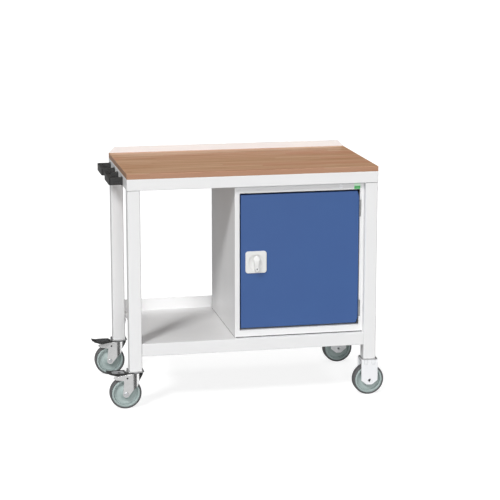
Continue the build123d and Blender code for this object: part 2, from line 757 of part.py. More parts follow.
def fixed_fork(end):
    """Folded U plate with a blunt V foot and two pressed ribs at the top of each cheek."""
    x, y = fixed_x, leg_ys[end]
    half, wide, t = fixed_fork_half_length, fork_half_width, fork_sheet
    z1 = leg_bottom - top_plate_sheet
    foot_z, knee_z, flat = fixed_fork_foot
    fork = block(x - half, x + half, y - wide, y + wide, foot_z, z1)
    fork = fillet(fork.edges().filter_by(Axis.X).group_by(Axis.Z)[-1], 4.0)
    fork -= block(x - half - 1, x + half + 1, y - wide + t, y + wide - t, foot_z - 1, z1 - t)
    for side in (-1, 1):
        corner = [(x + side * half, foot_z - 1), (x + side * half, knee_z), (x + side * flat, foot_z),
                  (x + side * flat, foot_z - 1)]
        fork -= prism_y(corner, y - wide - 1, y + wide + 1)
        for rib_x in (x - rib_offset, x + rib_offset):
            face_y = y + side * wide
            reach = sorted((face_y - side * 0.5, face_y + side * 1.0))
            rib = rod_y(rib_x, rib_low_z, *reach, rib_radius)
            rib += block(rib_x - rib_radius, rib_x + rib_radius, *reach, rib_low_z, z1 - 4.0)
            fork += rib
    fork -= rod_z(x, y, z1 - 10, z1 + 1, stem_radius + running_gap)
    return fork - rod_y(x, wheel_radius, y - wide - 5, y + wide + 5, axle_radius + 0.02)


def hollow_axle(x, y):
    """Tube rivet through the cheeks, its ends rolled over a little."""
    reach = fork_half_width + 0.6
    axle = rod_y(x, wheel_radius, y - reach, y + reach, axle_radius)
    for side in (-1, 1):
        ends = sorted((y + side * fork_half_width, y + side * reach))
        axle += rod_y(x, wheel_radius, *ends, axle_radius + 1.0)
    return axle - rod_y(x, wheel_radius, y - reach - 1, y + reach + 1, hollow_axle_bore)


def fixed_axles():
    return solids_of([hollow_axle(fixed_x, y) for y in leg_ys.values()])


# --- castors: swivelling forks, brakes and wheels -----------------------------------------
def swivel_fork(end):
    """Pressed fork: round at the leading side, flat cheeks trailing to the axle and the brake."""
    x, y = swivel_x, leg_ys[end]
    wide, t = fork_half_width, fork_sheet
    under = crown_top - t
    cheek = [(wide + 1, under), (wide + 1, 139), (12, 112), (7, 94), (-13, 75),
             (-trail + 11.5, wheel_radius - 6), (-trail, wheel_radius - 6), (-trail - 12.6, wheel_radius),
             (-47, 117), (-80, 122), (-91, 130), (-88, 134), (-36, under)]
    outline = prism_y([(x + px, pz) for px, pz in cheek], y - wide - 1, y + wide + 1)
    eye = rod_y(x - trail, wheel_radius, y - wide - 1, y + wide + 1, fork_eye_radius)
    z0 = 40.0
    skirt = rod_z(x, y, z0, under, wide) + block(x - 100, x, y - wide, y + wide, z0, under)
    skirt -= rod_z(x, y, z0 - 1, under + 1, wide - t)
    skirt -= block(x - 101, x, y - wide + t, y + wide - t, z0 - 1, under + 1)
    fork = skirt & (outline + eye)
    crown = rod_z(x, y, under, crown_top, wide) + block(x - wide, x, y - wide, y + wide, under, crown_top)
    fork += crown
    fork -= rod_z(x, y, under - 1, crown_top + 1, stem_radius + running_gap)
    pivot_x, pivot_z = brake_pivot
    fork -= rod_y(x + pivot_x, pivot_z, y - wide - 1, y + wide + 1, brake_pin_radius + running_gap)
    return fork - rod_y(x - trail, wheel_radius, y - wide - 1, y + wide + 1, axle_radius + 0.02)


def swivel_axle(end):
    """Plain axle with a low domed head each side."""
    x, y = swivel_x - trail, leg_ys[end]
    axle = rod_y(x, wheel_radius, y - fork_half_width, y + fork_half_width, axle_radius)
    for side in (-1, 1):
        face = y + side * fork_half_width
        head = rod_y(x, wheel_radius, *sorted((face, face + side * 2.4)), 8.5)
        rim = head.edges().group_by(Axis.Y)[-1 if side > 0 else 0]
        axle += fillet(rim, 1.6)
    return axle


def brake_lever(end):
    """Pressed lever between the cheeks, with its pins, ears and the pad that meets the tyre."""
    x, y = swivel_x, leg_ys[end]
    pivot_x, pivot_z = x + brake_pivot[0], brake_pivot[1]
    ear = brake_ear_y
    plate = [(x - 38, 138.0), (x - 38, 140.5), (x - 92, 142.5), (x - 104, 146.5), (x - 105, 144.0),
             (x - 92, 140.0)]
    lever = prism_y(plate, y - ear, y + ear)
    for side in (-1, 1):
        reach = sorted((y + side * (ear - brake_ear_sheet), y + side * ear))
        lug = rod_y(pivot_x, pivot_z, *reach, 7.0)
        lug += prism_y([(pivot_x - 6, pivot_z), (pivot_x + 6, pivot_z), (x - 38 + 5, 138.5),
                        (x - 38, 140.0), (x - 60, 140.0)], *reach)
        lever += lug
        pin = sorted((y + side * (ear - brake_ear_sheet), y + side * (fork_half_width + 0.8)))
        lever += rod_y(pivot_x, pivot_z, *pin, brake_pin_radius)
    return lever + block(x - 58, x - 50, y - 15, y + 15, 129.0, 139.5)


def brake_pedal(end):
    """Moulded step over the lever, its tip turned up."""
    x, y = swivel_x, leg_ys[end]
    side_view = [(x - 39, 141.0), (x - 39, 146.5), (x - 60, 147.5), (x - 95, 147.0), (x - 108, 150.0),
                 (x - 115, 153.0), (x - 114, 148.5), (x - 106, 144.7), (x - 104, 147.0), (x - 92, 143.0)]
    half = pedal_half_width
    pedal = prism_y(side_view, y - half, y + half)
    for side in (-1, 1):
        plan = [(x - 80, y + side * (half + 1)), (x - 116, y + side * (half + 1)),
                (x - 116, y + side * (half - 9))]
        taper = extrude(make_face(Polyline(*plan, close=True)), 40)
        pedal -= Pos(0, 0, 130) * taper
    return pedal


def wheel_at(profile, x, y):
    return Pos(x, y, wheel_radius) * turned(profile)


def tyre(x, y):
    """Rubber ring with a slightly crowned tread."""
    half = tyre_width / 2
    r0, r1 = rim_radius, wheel_radius
    profile = [(r0, -half + 2), (r0 + 1.5, -half), (r1 - 4.5, -half), (r1 - 1.2, -half + 4), (r1, -half + 9),
               (r1, half - 9), (r1 - 1.2, half - 4), (r1 - 4.5, half), (r0 + 1.5, half), (r0, half - 2)]
    return wheel_at(profile, x, y)


def wheel_centre(x, y):
    """Moulded centre: hub, dished web, a groove and a raised ring under the tyre."""
    half = tyre_width / 2
    bore = axle_radius + running_gap
    side = [(bore, hub_width / 2), (13.0, hub_width / 2), (14.5, half - 3), (20.0, half - 7),
            (36.0, half - 11), (44.0, half - 9), (45.5, half - 1), (50.0, half + 0.8),
            (rim_radius - 1, half), (rim_radius, half - 2)]
    profile = [(r, -w) for r, w in side] + [(r, w) for r, w in reversed(side)]
    return wheel_at(profile, x, y)


# --- everything ---------------------------------------------------------------------------
def main():
    os.makedirs("parts", exist_ok=True)
    save(worktop(), "worktop")
    ring = rail_ring()
    for side in ("front", "rear", "left", "right"):
        save(ring & mitre_wedge(side), f"{side}_rail")
    save(rear_upstand(), "rear_upstand")
    for side in leg_xs:
        for end in leg_ys:
            save(leg(side, end), f"leg_{end}_{side}")
    save(foot_plates(), "foot_plates")
    save(lower_shelf(), "lower_shelf")
    save(shelf_brackets(), "shelf_brackets")

    save(cabinet_side("left"), "cabinet_left_side")
    save(cabinet_side("right"), "cabinet_right_side")
    save(cabinet_top(), "cabinet_top")
    save(cabinet_floor(), "cabinet_floor")
    save(cabinet_back(), "cabinet_back")
    save(cabinet_shelf(), "cabinet_shelf")
    save(shelf_pegs(), "shelf_pegs")
    save(blanking_plug(), "blanking_plug")
    save(badge_plate(), "badge_plate")

    save(door_panel(), "door_panel")
    save(door_stiffener(), "door_stiffener")
    save(hinge_frame_leaves(), "hinge_frame_leaves")
    save(hinge_door_leaves(), "hinge_door_leaves")
    save(lock_escutcheon(), "lock_escutcheon")
    save(lock_nut(), "lock_nut")
    save(turn_handle(), "turn_handle")
    save(lock_cylinder(), "lock_cylinder")
    save(latch_spindle(), "latch_spindle")
    save(latch_cam(), "latch_cam")

    save(push_handle(handle_centres_y[0]), "push_handle_front")
    save(push_handle(handle_centres_y[1]), "push_handle_rear")
    save(worktop_screws(), "worktop_screws")
    save(frame_screws(), "frame_screws")
    save(frame_nuts(), "frame_nuts")

    save(castor_top_plates(), "castor_top_plates")
    save(swivel_bearings(), "swivel_bearings")
    save(castor_bolts(), "castor_bolts")
    save(fixed_axles(), "fixed_axles")
    for end in leg_ys:
        y = leg_ys[end]
        save(fixed_fork(end), f"fixed_fork_{end}")
        save(tyre(fixed_x, y), f"fixed_tyre_{end}")
        save(wheel_centre(fixed_x, y), f"fixed_wheel_{end}")
        save(swivel_fork(end), f"swivel_fork_{end}")
        save(swivel_axle(end), f"swivel_axle_{end}")
        save(brake_lever(end), f"brake_lever_{end}")
        save(brake_pedal(end), f"brake_pedal_{end}")
        save(tyre(swivel_x - trail, y), f"swivel_tyre_{end}")
        save(wheel_centre(swivel_x - trail, y), f"swivel_wheel_{end}")


main()
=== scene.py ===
import json
import math

import bmesh
import bpy
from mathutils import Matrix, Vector


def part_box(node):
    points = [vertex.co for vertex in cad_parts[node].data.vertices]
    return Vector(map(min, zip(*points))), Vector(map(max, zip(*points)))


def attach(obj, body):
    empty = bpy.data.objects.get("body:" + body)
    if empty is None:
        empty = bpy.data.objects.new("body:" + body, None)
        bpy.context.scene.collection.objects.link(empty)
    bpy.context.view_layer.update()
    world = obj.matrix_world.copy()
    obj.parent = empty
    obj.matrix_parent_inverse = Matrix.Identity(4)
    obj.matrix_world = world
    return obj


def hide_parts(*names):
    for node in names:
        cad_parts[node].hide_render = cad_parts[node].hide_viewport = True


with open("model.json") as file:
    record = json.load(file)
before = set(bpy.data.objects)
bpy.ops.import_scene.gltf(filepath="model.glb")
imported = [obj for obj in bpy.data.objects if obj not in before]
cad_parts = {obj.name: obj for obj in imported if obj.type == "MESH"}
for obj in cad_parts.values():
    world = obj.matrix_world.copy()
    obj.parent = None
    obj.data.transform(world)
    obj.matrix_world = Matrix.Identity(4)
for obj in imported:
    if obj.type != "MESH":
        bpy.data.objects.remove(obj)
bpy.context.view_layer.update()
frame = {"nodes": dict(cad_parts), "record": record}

nodes = frame["nodes"]
bodies = frame["record"]["behaviour"]["bodies"]
bodyOf = {node: body for body, members in bodies.items() for node in members}
slotOf = {part["node"]: part["material_slot"] for part in frame["record"]["subparts"]}
ends = ("front", "rear")
white = (1.0, 1.0, 1.0, 1.0)
print("frame loaded:", len(nodes), "nodes")


def middleOf(node):
    low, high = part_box(node)
    return (low + high) / 2


# node helpers: a value is either a number, a colour, or another node's output
def addNode(tree, kind, **settings):
    node = tree.nodes.new(kind)
    for key, value in settings.items():
        setattr(node, key, value)
    return node


def setInputs(node, **values):
    for key, value in values.items():
        node.inputs[key.replace("_", " ")].default_value = value
    return node


def feed(tree, socket, value):
    if isinstance(value, (int, float)):
        socket.default_value = value
    elif isinstance(value, tuple):
        socket.default_value = (*value, 1.0)
    else:
        tree.links.new(value, socket)


def mathNode(tree, operation, a, b=None, clamp=False):
    node = addNode(tree, "ShaderNodeMath", operation=operation, use_clamp=clamp)
    feed(tree, node.inputs[0], a)
    if b is not None:
        feed(tree, node.inputs[1], b)
    return node.outputs[0]


def rangeNode(tree, value, fromLow, fromHigh, toLow=0.0, toHigh=1.0):
    node = addNode(tree, "ShaderNodeMapRange", clamp=True)
    tree.links.new(value, node.inputs["Value"])
    setInputs(node, From_Min=fromLow, From_Max=fromHigh, To_Min=toLow, To_Max=toHigh)
    return node.outputs["Result"]


def mixColor(tree, factor, a, b):
    node = addNode(tree, "ShaderNodeMix", data_type="RGBA")
    for index, value in ((0, factor), (6, a), (7, b)):
        feed(tree, node.inputs[index], value)
    return node.outputs[2]


def mixShader(tree, factor, plain, other):
    node = addNode(tree, "ShaderNodeMixShader")
    for index, output in enumerate((factor, plain, other)):
        tree.links.new(output, node.inputs[index])
    return node.outputs[0]


def noiseNode(tree, vector, scale, detail=3.0, roughness=0.5, stretch=None):
    if stretch:
        mapping = addNode(tree, "ShaderNodeMapping")
        mapping.inputs["Scale"].default_value = stretch
        tree.links.new(vector, mapping.inputs["Vector"])
        vector = mapping.outputs[0]
    node = addNode(tree, "ShaderNodeTexNoise")
    tree.links.new(vector, node.inputs["Vector"])
    feed(tree, node.inputs["Scale"], scale)
    return setInputs(node, Detail=detail, Roughness=roughness).outputs["Fac"]


# camera, floor and light
studio = {
    "cameraPlace": (-1.3615, -6.8893, 2.0580),
    "cameraTurn": (77.98, 0.0, -11.70),     # degrees
    "lens": 126.96,                         # mm on the sensor
    "sensor": 36.0,
    "floorColor": (0.38, 0.38, 0.38),
    "floorGlow": 0.80,                      # lifts the floor to white, only as the camera sees it
    "floorRoughness": 0.9,
    "floorShine": 0.1,
    "floorSize": 60.0,
    "roomStrength": 0.20,
    "lampDistance": 6.0,
    # what shiny surfaces mirror: bearing in degrees from the front, and brightness there
    "mirrored": ((-180, 0.40), (-60, 0.60), (-40, 0.78), (22, 0.78), (29, 0.12), (48, 0.12), (54, 1.50),
                 (62, 1.50), (69, 0.04), (172, 0.05)),
}

# each lamp: the direction it shines from, its softness in degrees, its strength
lamps = {
    "frontLight": ((-0.10, -0.97, 0.22), 16.0, 1.30),
    "sideLight": ((-0.46, -0.58, 0.67), 12.0, 1.80),
    "topLight": ((0.02, -0.04, 1.0), 40.0, 1.00),
}


def placeCamera():
    data = bpy.data.cameras.new("benchCamera")
    data.lens = studio["lens"]
    data.sensor_width = studio["sensor"]
    camera = bpy.data.objects.new("benchCamera", data)
    camera.location = studio["cameraPlace"]
    camera.rotation_euler = [math.radians(angle) for angle in studio["cameraTurn"]]
    bpy.context.scene.collection.objects.link(camera)
    bpy.context.scene.camera = camera


def placeLamp(name):
    place, softness, strength = lamps[name]
    data = bpy.data.lights.new(name, "SUN")
    data.angle = math.radians(softness)
    data.energy = strength
    lamp = bpy.data.objects.new(name, data)
    lamp.location = Vector(place) * studio["lampDistance"]
    lamp.rotation_euler = (-Vector(place)).to_track_quat("-Z", "Y").to_euler()
    bpy.context.scene.collection.objects.link(lamp)


def makeRoom():
    # the backdrop is white to the eye, and the light that the room gives is weaker
    world = bpy.data.worlds.new("paleRoom")
    world.use_nodes = True
    tree = world.node_tree
    room = setInputs(tree.nodes["Background"], Color=white, Strength=studio["roomStrength"])
    seen = setInputs(addNode(tree, "ShaderNodeBackground"), Color=white)
    # shiny metal mirrors pale screens with dark gaps between them
    bearing = addNode(tree, "ShaderNodeSeparateXYZ")
    tree.links.new(addNode(tree, "ShaderNodeTexCoord").outputs["Generated"], bearing.inputs[0])
    away = mathNode(tree, "MULTIPLY", bearing.outputs["Y"], -1.0)
    turn = mathNode(tree, "ARCTAN2", bearing.outputs["X"], away)
    screens = addNode(tree, "ShaderNodeValToRGB")
    brightest = max(level for angle, level in studio["mirrored"])
    stops = screens.color_ramp.elements
    while len(stops) < len(studio["mirrored"]):
        stops.new(1.0)
    for stop, (angle, level) in zip(stops, studio["mirrored"]):
        stop.position = (angle + 180) / 360
        stop.color = (level / brightest, level / brightest, level / brightest, 1.0)
    tree.links.new(rangeNode(tree, turn, -math.pi, math.pi), screens.inputs[0])
    mirrored = setInputs(addNode(tree, "ShaderNodeBackground"), Strength=brightest)
    tree.links.new(screens.outputs[0], mirrored.inputs["Color"])
    sight = addNode(tree, "ShaderNodeLightPath")
    around = mixShader(tree, sight.outputs["Is Glossy Ray"], room.outputs[0], mirrored.outputs[0])
    around = mixShader(tree, sight.outputs["Is Camera Ray"], around, seen.outputs[0])
    tree.links.new(around, tree.nodes["World Output"].inputs["Surface"])
    bpy.context.scene.world = world


def layFloor():
    half = studio["floorSize"] / 2
    corners = [(-half, -half, 0), (half, -half, 0), (half, half, 0), (-half, half, 0)]
    mesh = bpy.data.meshes.new("floor")
    mesh.from_pydata(corners, [], [(0, 1, 2, 3)])
    floor = bpy.data.objects.new("floor", mesh)
    bpy.context.scene.collection.objects.link(floor)
    material = bpy.data.materials.new("paleFloor")
    material.use_nodes = True
    tree = material.node_tree
    shader = setInputs(tree.nodes["Principled BSDF"], Base_Color=(*studio["floorColor"], 1.0),
                       Roughness=studio["floorRoughness"], Specular_IOR_Level=studio["floorShine"],
                       Emission_Color=white)
    sight = addNode(tree, "ShaderNodeLightPath")
    glow = mathNode(tree, "MULTIPLY", sight.outputs["Is Camera Ray"], studio["floorGlow"])
    tree.links.new(glow, shader.inputs["Emission Strength"])
    floor.visible_glossy = False
    mesh.materials.append(material)


placeCamera()
for lampName in lamps:
    placeLamp(lampName)
makeRoom()
layFloor()
bpy.context.scene.view_settings.view_transform = "Standard"
print("studio placed")


# shared effects, one node group each
def newGroup(name, inputs, outputs):
    tree = bpy.data.node_groups.new(name, "ShaderNodeTree")
    for label, kind, value in inputs:
        socket = tree.interface.new_socket(label, in_out="INPUT", socket_type=kind)
        socket.default_value = value
    for label, kind in outputs:
        tree.interface.new_socket(label, in_out="OUTPUT", socket_type=kind)
    return tree, tree.nodes.new("NodeGroupInput"), tree.nodes.new("NodeGroupOutput")


def makeSoftEdge():
    # rounds every sharp edge a little in the shading, and finds where the edges are
    tree, start, end = newGroup("softEdge", [("Radius", "NodeSocketFloat", 0.001)],
                                [("Normal", "NodeSocketVector"), ("Edge", "NodeSocketFloat")])
    bevel = addNode(tree, "ShaderNodeBevel", samples=6)
    tree.links.new(start.outputs["Radius"], bevel.inputs["Radius"])
    flat = addNode(tree, "ShaderNodeNewGeometry")
    dot = addNode(tree, "ShaderNodeVectorMath", operation="DOT_PRODUCT")
    tree.links.new(bevel.outputs[0], dot.inputs[0])
    tree.links.new(flat.outputs["Normal"], dot.inputs[1])
    tree.links.new(bevel.outputs[0], end.inputs["Normal"])
    tree.links.new(rangeNode(tree, dot.outputs["Value"], 0.99, 0.80), end.inputs["Edge"])
    return tree


def makeCoatSurface():
    # the faint orange peel of baked powder, and its slow change of tone
    tree, start, end = newGroup("coatSurface", [("Peel Scale", "NodeSocketFloat", 900.0),
                                                ("Tone Scale", "NodeSocketFloat", 4.0)],
                                [("Height", "NodeSocketFloat"), ("Tone", "NodeSocketFloat")])
    place = addNode(tree, "ShaderNodeTexCoord").outputs["Object"]
    tree.links.new(noiseNode(tree, place, start.outputs["Peel Scale"], 2.0), end.inputs["Height"])
    tree.links.new(noiseNode(tree, place, start.outputs["Tone Scale"], 4.0), end.inputs["Tone"])
    return tree


def makeDustFilm():
    # a thin uneven film on whatever faces up
    tree, start, end = newGroup("dustFilm", [("Amount", "NodeSocketFloat", 0.2)],
                                [("Mask", "NodeSocketFloat")])
    facing = addNode(tree, "ShaderNodeSeparateXYZ")
    tree.links.new(addNode(tree, "ShaderNodeNewGeometry").outputs["Normal"], facing.inputs[0])
    place = addNode(tree, "ShaderNodeTexCoord").outputs["Object"]
    patches = rangeNode(tree, noiseNode(tree, place, 14.0, 5.0, 0.6), 0.35, 0.75)
    up = rangeNode(tree, facing.outputs["Z"], 0.4, 1.0)
    film = mathNode(tree, "MULTIPLY", patches, up)
    tree.links.new(mathNode(tree, "MULTIPLY", film, start.outputs["Amount"], True), end.inputs["Mask"])
    return tree


def makeFineScratches():
    # hairline marks in two directions
    tree, start, end = newGroup("fineScratches", [("Density", "NodeSocketFloat", 0.3)],
                                [("Mask", "NodeSocketFloat")])
    place = addNode(tree, "ShaderNodeTexCoord").outputs["Object"]
    along = rangeNode(tree, noiseNode(tree, place, 30.0, 2.0, stretch=(1.0, 22.0, 22.0)), 0.66, 0.72)
    across = rangeNode(tree, noiseNode(tree, place, 34.0, 2.0, stretch=(20.0, 20.0, 1.2)), 0.67, 0.73)
    lines = mathNode(tree, "MAXIMUM", along, across)
    tree.links.new(mathNode(tree, "MULTIPLY", lines, start.outputs["Density"], True), end.inputs["Mask"])
    return tree


effects = {
    "softEdge": makeSoftEdge(),
    "coatSurface": makeCoatSurface(),
    "dustFilm": makeDustFilm(),
    "fineScratches": makeFineScratches(),
}


def placeGroup(tree, name, **values):
    return setInputs(addNode(tree, "ShaderNodeGroup", node_tree=effects[name]), **values)


# materials
def newMaterial(name):
    material = bpy.data.materials.new(name)
    material.use_nodes = True
    tree = material.node_tree
    return material, tree, tree.nodes["Principled BSDF"]


def bumpInto(tree, shader, height, strength, distance, normal):
    bump = setInputs(addNode(tree, "ShaderNodeBump"), Strength=strength, Distance=distance)
    tree.links.new(height, bump.inputs["Height"])
    tree.links.new(normal, bump.inputs["Normal"])
    tree.links.new(bump.outputs[0], shader.inputs["Normal"])


def makeFinish(name, look):
    # two tones, soft edges and a fine grain, then edges painted lighter (part rubbed paint, part painted
    # highlight), the scratches and dust that the finish has
    material, tree, shader = newMaterial(name)
    coat = placeGroup(tree, "coatSurface", Peel_Scale=look["grain"], Tone_Scale=look["toneScale"])
    edge = placeGroup(tree, "softEdge", Radius=look["edge"])
    color = mixColor(tree, rangeNode(tree, coat.outputs["Tone"], 0.3, 0.7), look["color"], look["shade"])
    low, high = look["roughBand"]
    rough = rangeNode(tree, coat.outputs["Tone"], low, high, look["roughness"] - look["smoother"],
                      look["roughness"] + look["rougher"])
    # edges painted in a lighter colour: part rubbed paint, part painted highlight
    if "edgeWornAndLit" in look:
        edgeWearAndHighlight = mathNode(tree, "MULTIPLY", edge.outputs["Edge"], look["edgeWearAndHighlight"])
        color = mixColor(tree, edgeWearAndHighlight, color, look["edgeWornAndLit"])
    if "scratches" in look:
        marks = placeGroup(tree, "fineScratches", Density=look["scratches"])
        color = mixColor(tree, marks.outputs["Mask"], color, look["scratchColor"])
    if "dust" in look:
        dust = placeGroup(tree, "dustFilm", Amount=look["dust"])
        color = mixColor(tree, dust.outputs["Mask"], color, look["dustColor"])
        if "dustRoughness" in look:
            dull = mathNode(tree, "MULTIPLY", dust.outputs["Mask"], look["dustRoughness"])
            rough = mathNode(tree, "ADD", rough, dull)
    tree.links.new(color, shader.inputs["Base Color"])
    tree.links.new(rough, shader.inputs["Roughness"])
    setInputs(shader, Metallic=look["metallic"])
    bumpInto(tree, shader, coat.outputs["Height"], look["bump"], look["depth"], edge.outputs["Normal"])
    return material


# grain is how fine the surface's pattern is; depth and edge, its height and the rounding, are in metres
paintCommon = {"metallic": 0.0, "toneScale": 5.0, "roughBand": (0.25, 0.75), "smoother": 0.05,
               "rougher": 0.06, "bump": 0.5, "edgeWearAndHighlight": 0.5, "dustColor": (0.55, 0.53, 0.50),
               "dustRoughness": 0.5}
# the lighter edge colour of each paint is part rubbed paint and part painted highlight
paintFinishes = {
    "frame_paint": {"color": (0.79, 0.79, 0.79), "shade": (0.765, 0.765, 0.77), "edgeWornAndLit": (0.86, 0.86, 0.86),
                    "roughness": 0.42, "grain": 1100.0, "depth": 0.00012, "edge": 0.0012, "dust": 0.06},
    "door_paint": {"color": (0.034, 0.095, 0.276), "shade": (0.031, 0.088, 0.264),
                   "edgeWornAndLit": (0.08, 0.16, 0.38), "roughness": 0.40, "grain": 1100.0, "depth": 0.00012,
                   "edge": 0.0010, "dust": 0.04},
    "white_zinc": {"color": (0.86, 0.87, 0.88), "shade": (0.82, 0.83, 0.85), "edgeWornAndLit": (0.92, 0.92, 0.93),
                   "roughness": 0.30, "grain": 500.0, "depth": 0.00004, "edge": 0.0008, "dust": 0.0},
    "dark_steel": {"color": (0.030, 0.030, 0.031), "shade": (0.020, 0.020, 0.021),
                   "edgeWornAndLit": (0.16, 0.16, 0.16), "roughness": 0.35, "grain": 700.0, "depth": 0.00004,
                   "edge": 0.0007, "dust": 0.10},
}

metalCommon = {"metallic": 1.0, "grain": 420.0, "depth": 0.00003, "toneScale": 40.0,
               "roughBand": (0.3, 0.7), "smoother": 0.05, "rougher": 0.08, "bump": 0.3,
               "scratches": 0.35, "scratchColor": (0.80, 0.80, 0.80)}
metalFinishes = {
    "zinc_steel": {"color": (0.62, 0.63, 0.65), "shade": (0.48, 0.49, 0.50), "roughness": 0.30,
                   "edge": 0.0006},
    "fork_zinc": {"color": (0.76, 0.76, 0.76), "shade": (0.72, 0.72, 0.72), "roughness": 0.17,
                  "edge": 0.0006},
    "plate_steel": {"color": (0.60, 0.60, 0.60), "shade": (0.42, 0.42, 0.42), "roughness": 0.30,
                    "edge": 0.0006},
    "hinge_steel": {"color": (0.46, 0.46, 0.46), "shade": (0.33, 0.33, 0.33), "roughness": 0.38,
                    "edge": 0.0005},
    "lock_chrome": {"color": (0.90, 0.90, 0.90), "shade": (0.82, 0.82, 0.82), "roughness": 0.32,
                    "edge": 0.0004},
}

plasticCommon = {"metallic": 0.0, "toneScale": 18.0, "roughBand": (0.3, 0.7), "smoother": 0.05,
                 "rougher": 0.07, "bump": 0.5, "dust": 0.08, "dustColor": (0.50, 0.49, 0.47)}
plasticFinishes = {
    "black_plastic": {"color": (0.006, 0.006, 0.006), "shade": (0.009, 0.009, 0.009), "roughness": 0.46,
                      "grain": 1500.0, "depth": 0.00008, "edge": 0.0008},
    "white_plastic": {"color": (0.75, 0.75, 0.735), "shade": (0.73, 0.73, 0.715), "roughness": 0.36,
                      "grain": 600.0, "depth": 0.00002, "edge": 0.0008},
    "wheel_plastic": {"color": (0.37, 0.44, 0.43), "shade": (0.34, 0.41, 0.40), "roughness": 0.52,
                      "grain": 900.0, "depth": 0.00004, "edge": 0.0006},
    "tyre_rubber": {"color": (0.115, 0.115, 0.118), "shade": (0.095, 0.095, 0.098), "roughness": 0.62,
                    "grain": 1300.0, "depth": 0.00010, "edge": 0.0010},
}

badgeLook = {
    "low": (0.045, 0.46, 0.10),
    "high": (0.64, 0.92, 0.68),
    "split": 0.5,            # where the two tones meet, as a share of the height
    "blur": 0.0004,
    "faded": (0.9, 0.95, 0.9),
    "fade": 0.12,
    "roughness": 0.25,
    "grain": 700.0,
    "toneScale": 60.0,
    "edge": 0.0004,
    "bump": 0.3,
    "depth": 0.00002,
}


def makeBadge():
    # a plain two-tone tab, darker below
    look = badgeLook
    material, tree, shader = newMaterial("green_plastic")
    low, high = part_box("badge_plate")
    place = addNode(tree, "ShaderNodeSeparateXYZ")
    tree.links.new(addNode(tree, "ShaderNodeTexCoord").outputs["Object"], place.inputs[0])
    split = low.z + (high.z - low.z) * look["split"]
    step = rangeNode(tree, place.outputs["Z"], split - look["blur"], split + look["blur"])
    coat = placeGroup(tree, "coatSurface", Peel_Scale=look["grain"], Tone_Scale=look["toneScale"])
    fade = rangeNode(tree, coat.outputs["Tone"], 0.3, 0.7, 0.0, look["fade"])
    color = mixColor(tree, fade, mixColor(tree, step, look["low"], look["high"]), look["faded"])
    tree.links.new(color, shader.inputs["Base Color"])
    setInputs(shader, Roughness=look["roughness"])
    edge = placeGroup(tree, "softEdge", Radius=look["edge"])
    bumpInto(tree, shader, coat.outputs["Height"], look["bump"], look["depth"], edge.outputs["Normal"])
    return material


woodLook = {
    "light": (0.58, 0.365, 0.225),
    "dark": (0.41, 0.205, 0.098),
    "pink": (0.50, 0.235, 0.138),
    "pinkShare": 0.80,
    "pore": (0.26, 0.14, 0.08),
    "poreShare": 0.30,
    "joint": (0.22, 0.12, 0.07),
    "jointShare": 0.35,
    "jointWidth": 0.0005,
    # front and side: colours for the board's front and end faces, painted shade, with darker end grain on
    # the ends
    "front": (0.375, 0.197, 0.118),
    "frontShare": 0.75,
    "side": (0.24, 0.125, 0.075),
    "sideShare": 0.55,
    "staveWidth": 0.046,
    "cutsPerMetre": 1.45,
    "cutShift": 3.0,
    "roughness": 0.44,
    "edge": 0.0012,
    "bump": 0.35,
    "depth": 0.0002,
}


